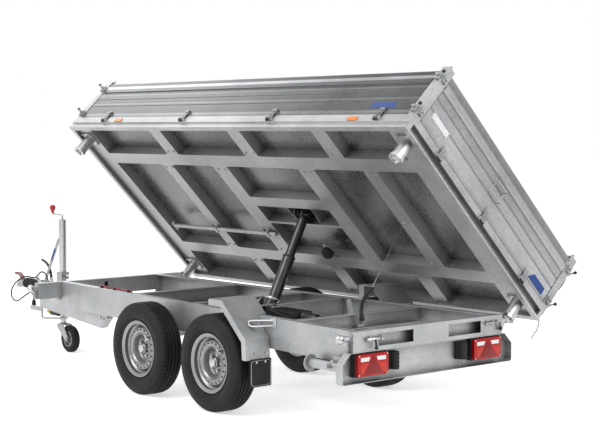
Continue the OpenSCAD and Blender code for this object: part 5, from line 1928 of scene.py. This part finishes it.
    def patches(self) -> None:
        """Makes the plain patches that stand where labels were."""
        for name, body, side in (("side_patch_left", "gate_left", -1), ("side_patch_right", "gate_right", 1)):
            patch = Sketch(name, "blue_patch", Zone.BED)
            y = side * 0.8922
            patch.prism([(4.735, 0.912), (4.975, 0.912), (4.955, 0.966), (4.76, 0.966)], Axis.Y,
                min(y, y + side * 0.0006), max(y, y + side * 0.0006))
            patch.ready(body)
        patch = Sketch("tail_patch", "blue_patch", Zone.BED)
        patch.prism([(0.594, 0.872), (0.785, 0.872), (0.785, 0.928), (0.64, 0.928)], Axis.X, 5.1968, 5.1976)
        patch.ready("gate_rear")
        label = Sketch("tail_label", "white_edge", Zone.BED)
        label.prism([(-0.785, 0.938), (-0.59, 0.938), (-0.59, 0.992), (-0.785, 0.992)], Axis.X, 5.1968,
            5.1974)
        label.ready("gate_rear")
        edge = Sketch("tail_label_edge", "blue_patch", Zone.BED)
        edge.swept([(5.1975, -0.6875 + u, 0.965 + v) for u, v in round_corners(0.0935, 0.024, 0.006)],
            flat_section(0.0006, 0.0045, 0.0001), (1, 0, 0), True)
        edge.ready("gate_rear")

    def corner_levers(self) -> None:
        """Makes the hanging lever and the black handle at both right-hand corners."""
        lever = Sketch("corner_lock_levers", "bright_steel", Zone.BED)
        grip = Sketch("corner_post_grips", "black_plastic", Zone.BED)
        for end, edge in ((-1, BED_FRONT), (1, BED_REAR)):
            x = edge - end * 0.012
            lever.tube(smooth_path([(x, 0.893, 0.76), (x, 0.906, 0.752), (x + end * 0.006, 0.914, 0.728),
                (x + end * 0.01, 0.926, 0.69), (x + end * 0.008, 0.924, 0.65),
                (x + end * 0.004, 0.93, 0.612)], 3), 0.0045, 10)
            x = edge - end * 0.03
            grip.tube(smooth_path([(x, 0.893, 1.02), (x, 0.91, 1.026), (x, 0.92, 1.05),
                (x, 0.923, 1.09), (x, 0.919, 1.13), (x, 0.906, 1.156), (x, 0.893, 1.162)], 3), 0.0065, 12)
        lever.ready("bed", "galv_bright")
        grip.ready("bed", "black_plastic")


@dataclass
class Studio:
    """Floor, lamps and camera. A lamp's row holds its place, its aim, its size and its power."""

    camera_place: tuple = (11.5386, -6.5079, 1.3976)
    heading: float = 40.28
    pitch: float = 3.616
    focal_px: float = 1463.4
    picture_width: int = 600
    ground: float = -BALL_HEIGHT
    floor_half: float = 60.0
    sight: float = 200.0
    lamps: tuple = (((3.0, -5.5, 5.5), (2.5, 0.0, 0.6), 5.0, 330.0),
        ((9.5, 1.0, 4.5), (3.0, 0.0, 0.6), 4.0, 200.0), ((-4.0, 2.0, 5.0), (2.0, 0.0, 0.8), 4.0, 160.0))

    def seen(self, tree: Tree) -> Socket:
        """Gives 1 for rays from the camera, from gloss and through glass, else 0.

        Args:
            tree: The world's node tree.

        Returns:
            The socket that gives the value.
        """
        path = tree.nodes.new("ShaderNodeLightPath")
        first = reckoned(tree, "MAXIMUM", path.outputs["Is Camera Ray"], path.outputs["Is Transmission Ray"])
        both = reckoned(tree, "MAXIMUM", first, path.outputs["Is Glossy Ray"])
        return both

    def floor(self) -> None:
        """Lays the pale floor, which the camera sees as plain white with the trailer's shadow."""
        mesh = bpy.data.meshes.new("floor")
        size = self.floor_half
        mesh.from_pydata([(-size, -size, self.ground), (size, -size, self.ground),
            (size, size, self.ground), (-size, size, self.ground)], [], [(0, 1, 2, 3)])
        floor = bpy.data.objects.new("floor", mesh)
        bpy.context.scene.collection.objects.link(floor)
        material, tree, shader = blank_material("studio_floor")
        shader.inputs["Base Color"].default_value = (0.88, 0.88, 0.88, 1.0)
        shader.inputs["Roughness"].default_value = 0.8
        shader.inputs["Specular IOR Level"].default_value = 0.0
        shader.inputs["Emission Color"].default_value = (1.0, 1.0, 1.0, 1.0)
        glow = joined(tree, "ShaderNodeMapRange", {"To Min": 0.0, "To Max": 0.56}, {"Value": self.seen(tree)})
        tree.links.new(glow.outputs["Result"], shader.inputs["Emission Strength"])
        mesh.materials.append(material)

    def world(self) -> None:
        """Lights the room evenly and shows it white behind the trailer."""
        world = bpy.data.worlds.new("room")
        bpy.context.scene.world = world
        world.use_nodes = True
        tree = world.node_tree
        light = tree.nodes["Background"]
        light.inputs["Color"].default_value = (1.0, 1.0, 1.0, 1.0)
        level = joined(tree, "ShaderNodeMapRange", {"To Min": 0.55, "To Max": 1.0},
            {"Value": self.seen(tree)})
        tree.links.new(level.outputs["Result"], light.inputs["Strength"])

    def light(self) -> None:
        """Hangs the soft lamps."""
        for number, (place, aim, size, power) in enumerate(self.lamps):
            data = bpy.data.lights.new(f"softbox_{number}", "AREA")
            data.shape = "SQUARE"
            data.size = size
            data.energy = power
            lamp = bpy.data.objects.new(f"softbox_{number}", data)
            lamp.location = place
            lamp.rotation_euler = (Vector(aim) - Vector(place)).to_track_quat("-Z", "Y").to_euler()
            bpy.context.scene.collection.objects.link(lamp)

    def camera(self) -> None:
        """Sets the camera where the photograph was taken from."""
        data = bpy.data.cameras.new("photo_camera")
        data.sensor_width = FILM_WIDTH
        data.lens = self.focal_px * FILM_WIDTH / self.picture_width
        data.clip_end = self.sight
        camera = bpy.data.objects.new("photo_camera", data)
        camera.location = self.camera_place
        turn = math.radians(self.heading)
        dip = math.radians(self.pitch)
        ahead = Vector((-math.cos(turn) * math.cos(dip), math.sin(turn) * math.cos(dip), -math.sin(dip)))
        camera.rotation_euler = ahead.to_track_quat("-Z", "Y").to_euler()
        bpy.context.scene.collection.objects.link(camera)
        bpy.context.scene.camera = camera
        bpy.context.scene.view_settings.view_transform = "Standard"

    def build(self) -> None:
        """Sets up the whole studio."""
        self.camera()
        self.floor()
        self.world()
        self.light()


def main() -> None:
    """Builds the studio, then the assemblies in their order, and reports each piece."""
    Studio().build()
    for node in frame["nodes"]:
        coat_node(node)
    known = set(bpy.data.objects.keys())
    for assembly in (LeadCord, RoadWheels, JockeyGear, Nose, ChassisTrim, RearLights, RamTrim, PowerPackTrim,
            LimitLine, BedTrim):
        assembly().build()
        for name in bpy.data.objects.keys():
            if name not in known:
                LOG.info("%s made %s", assembly.__name__, name)
                known.add(name)


if __name__ == "__main__":
    main()
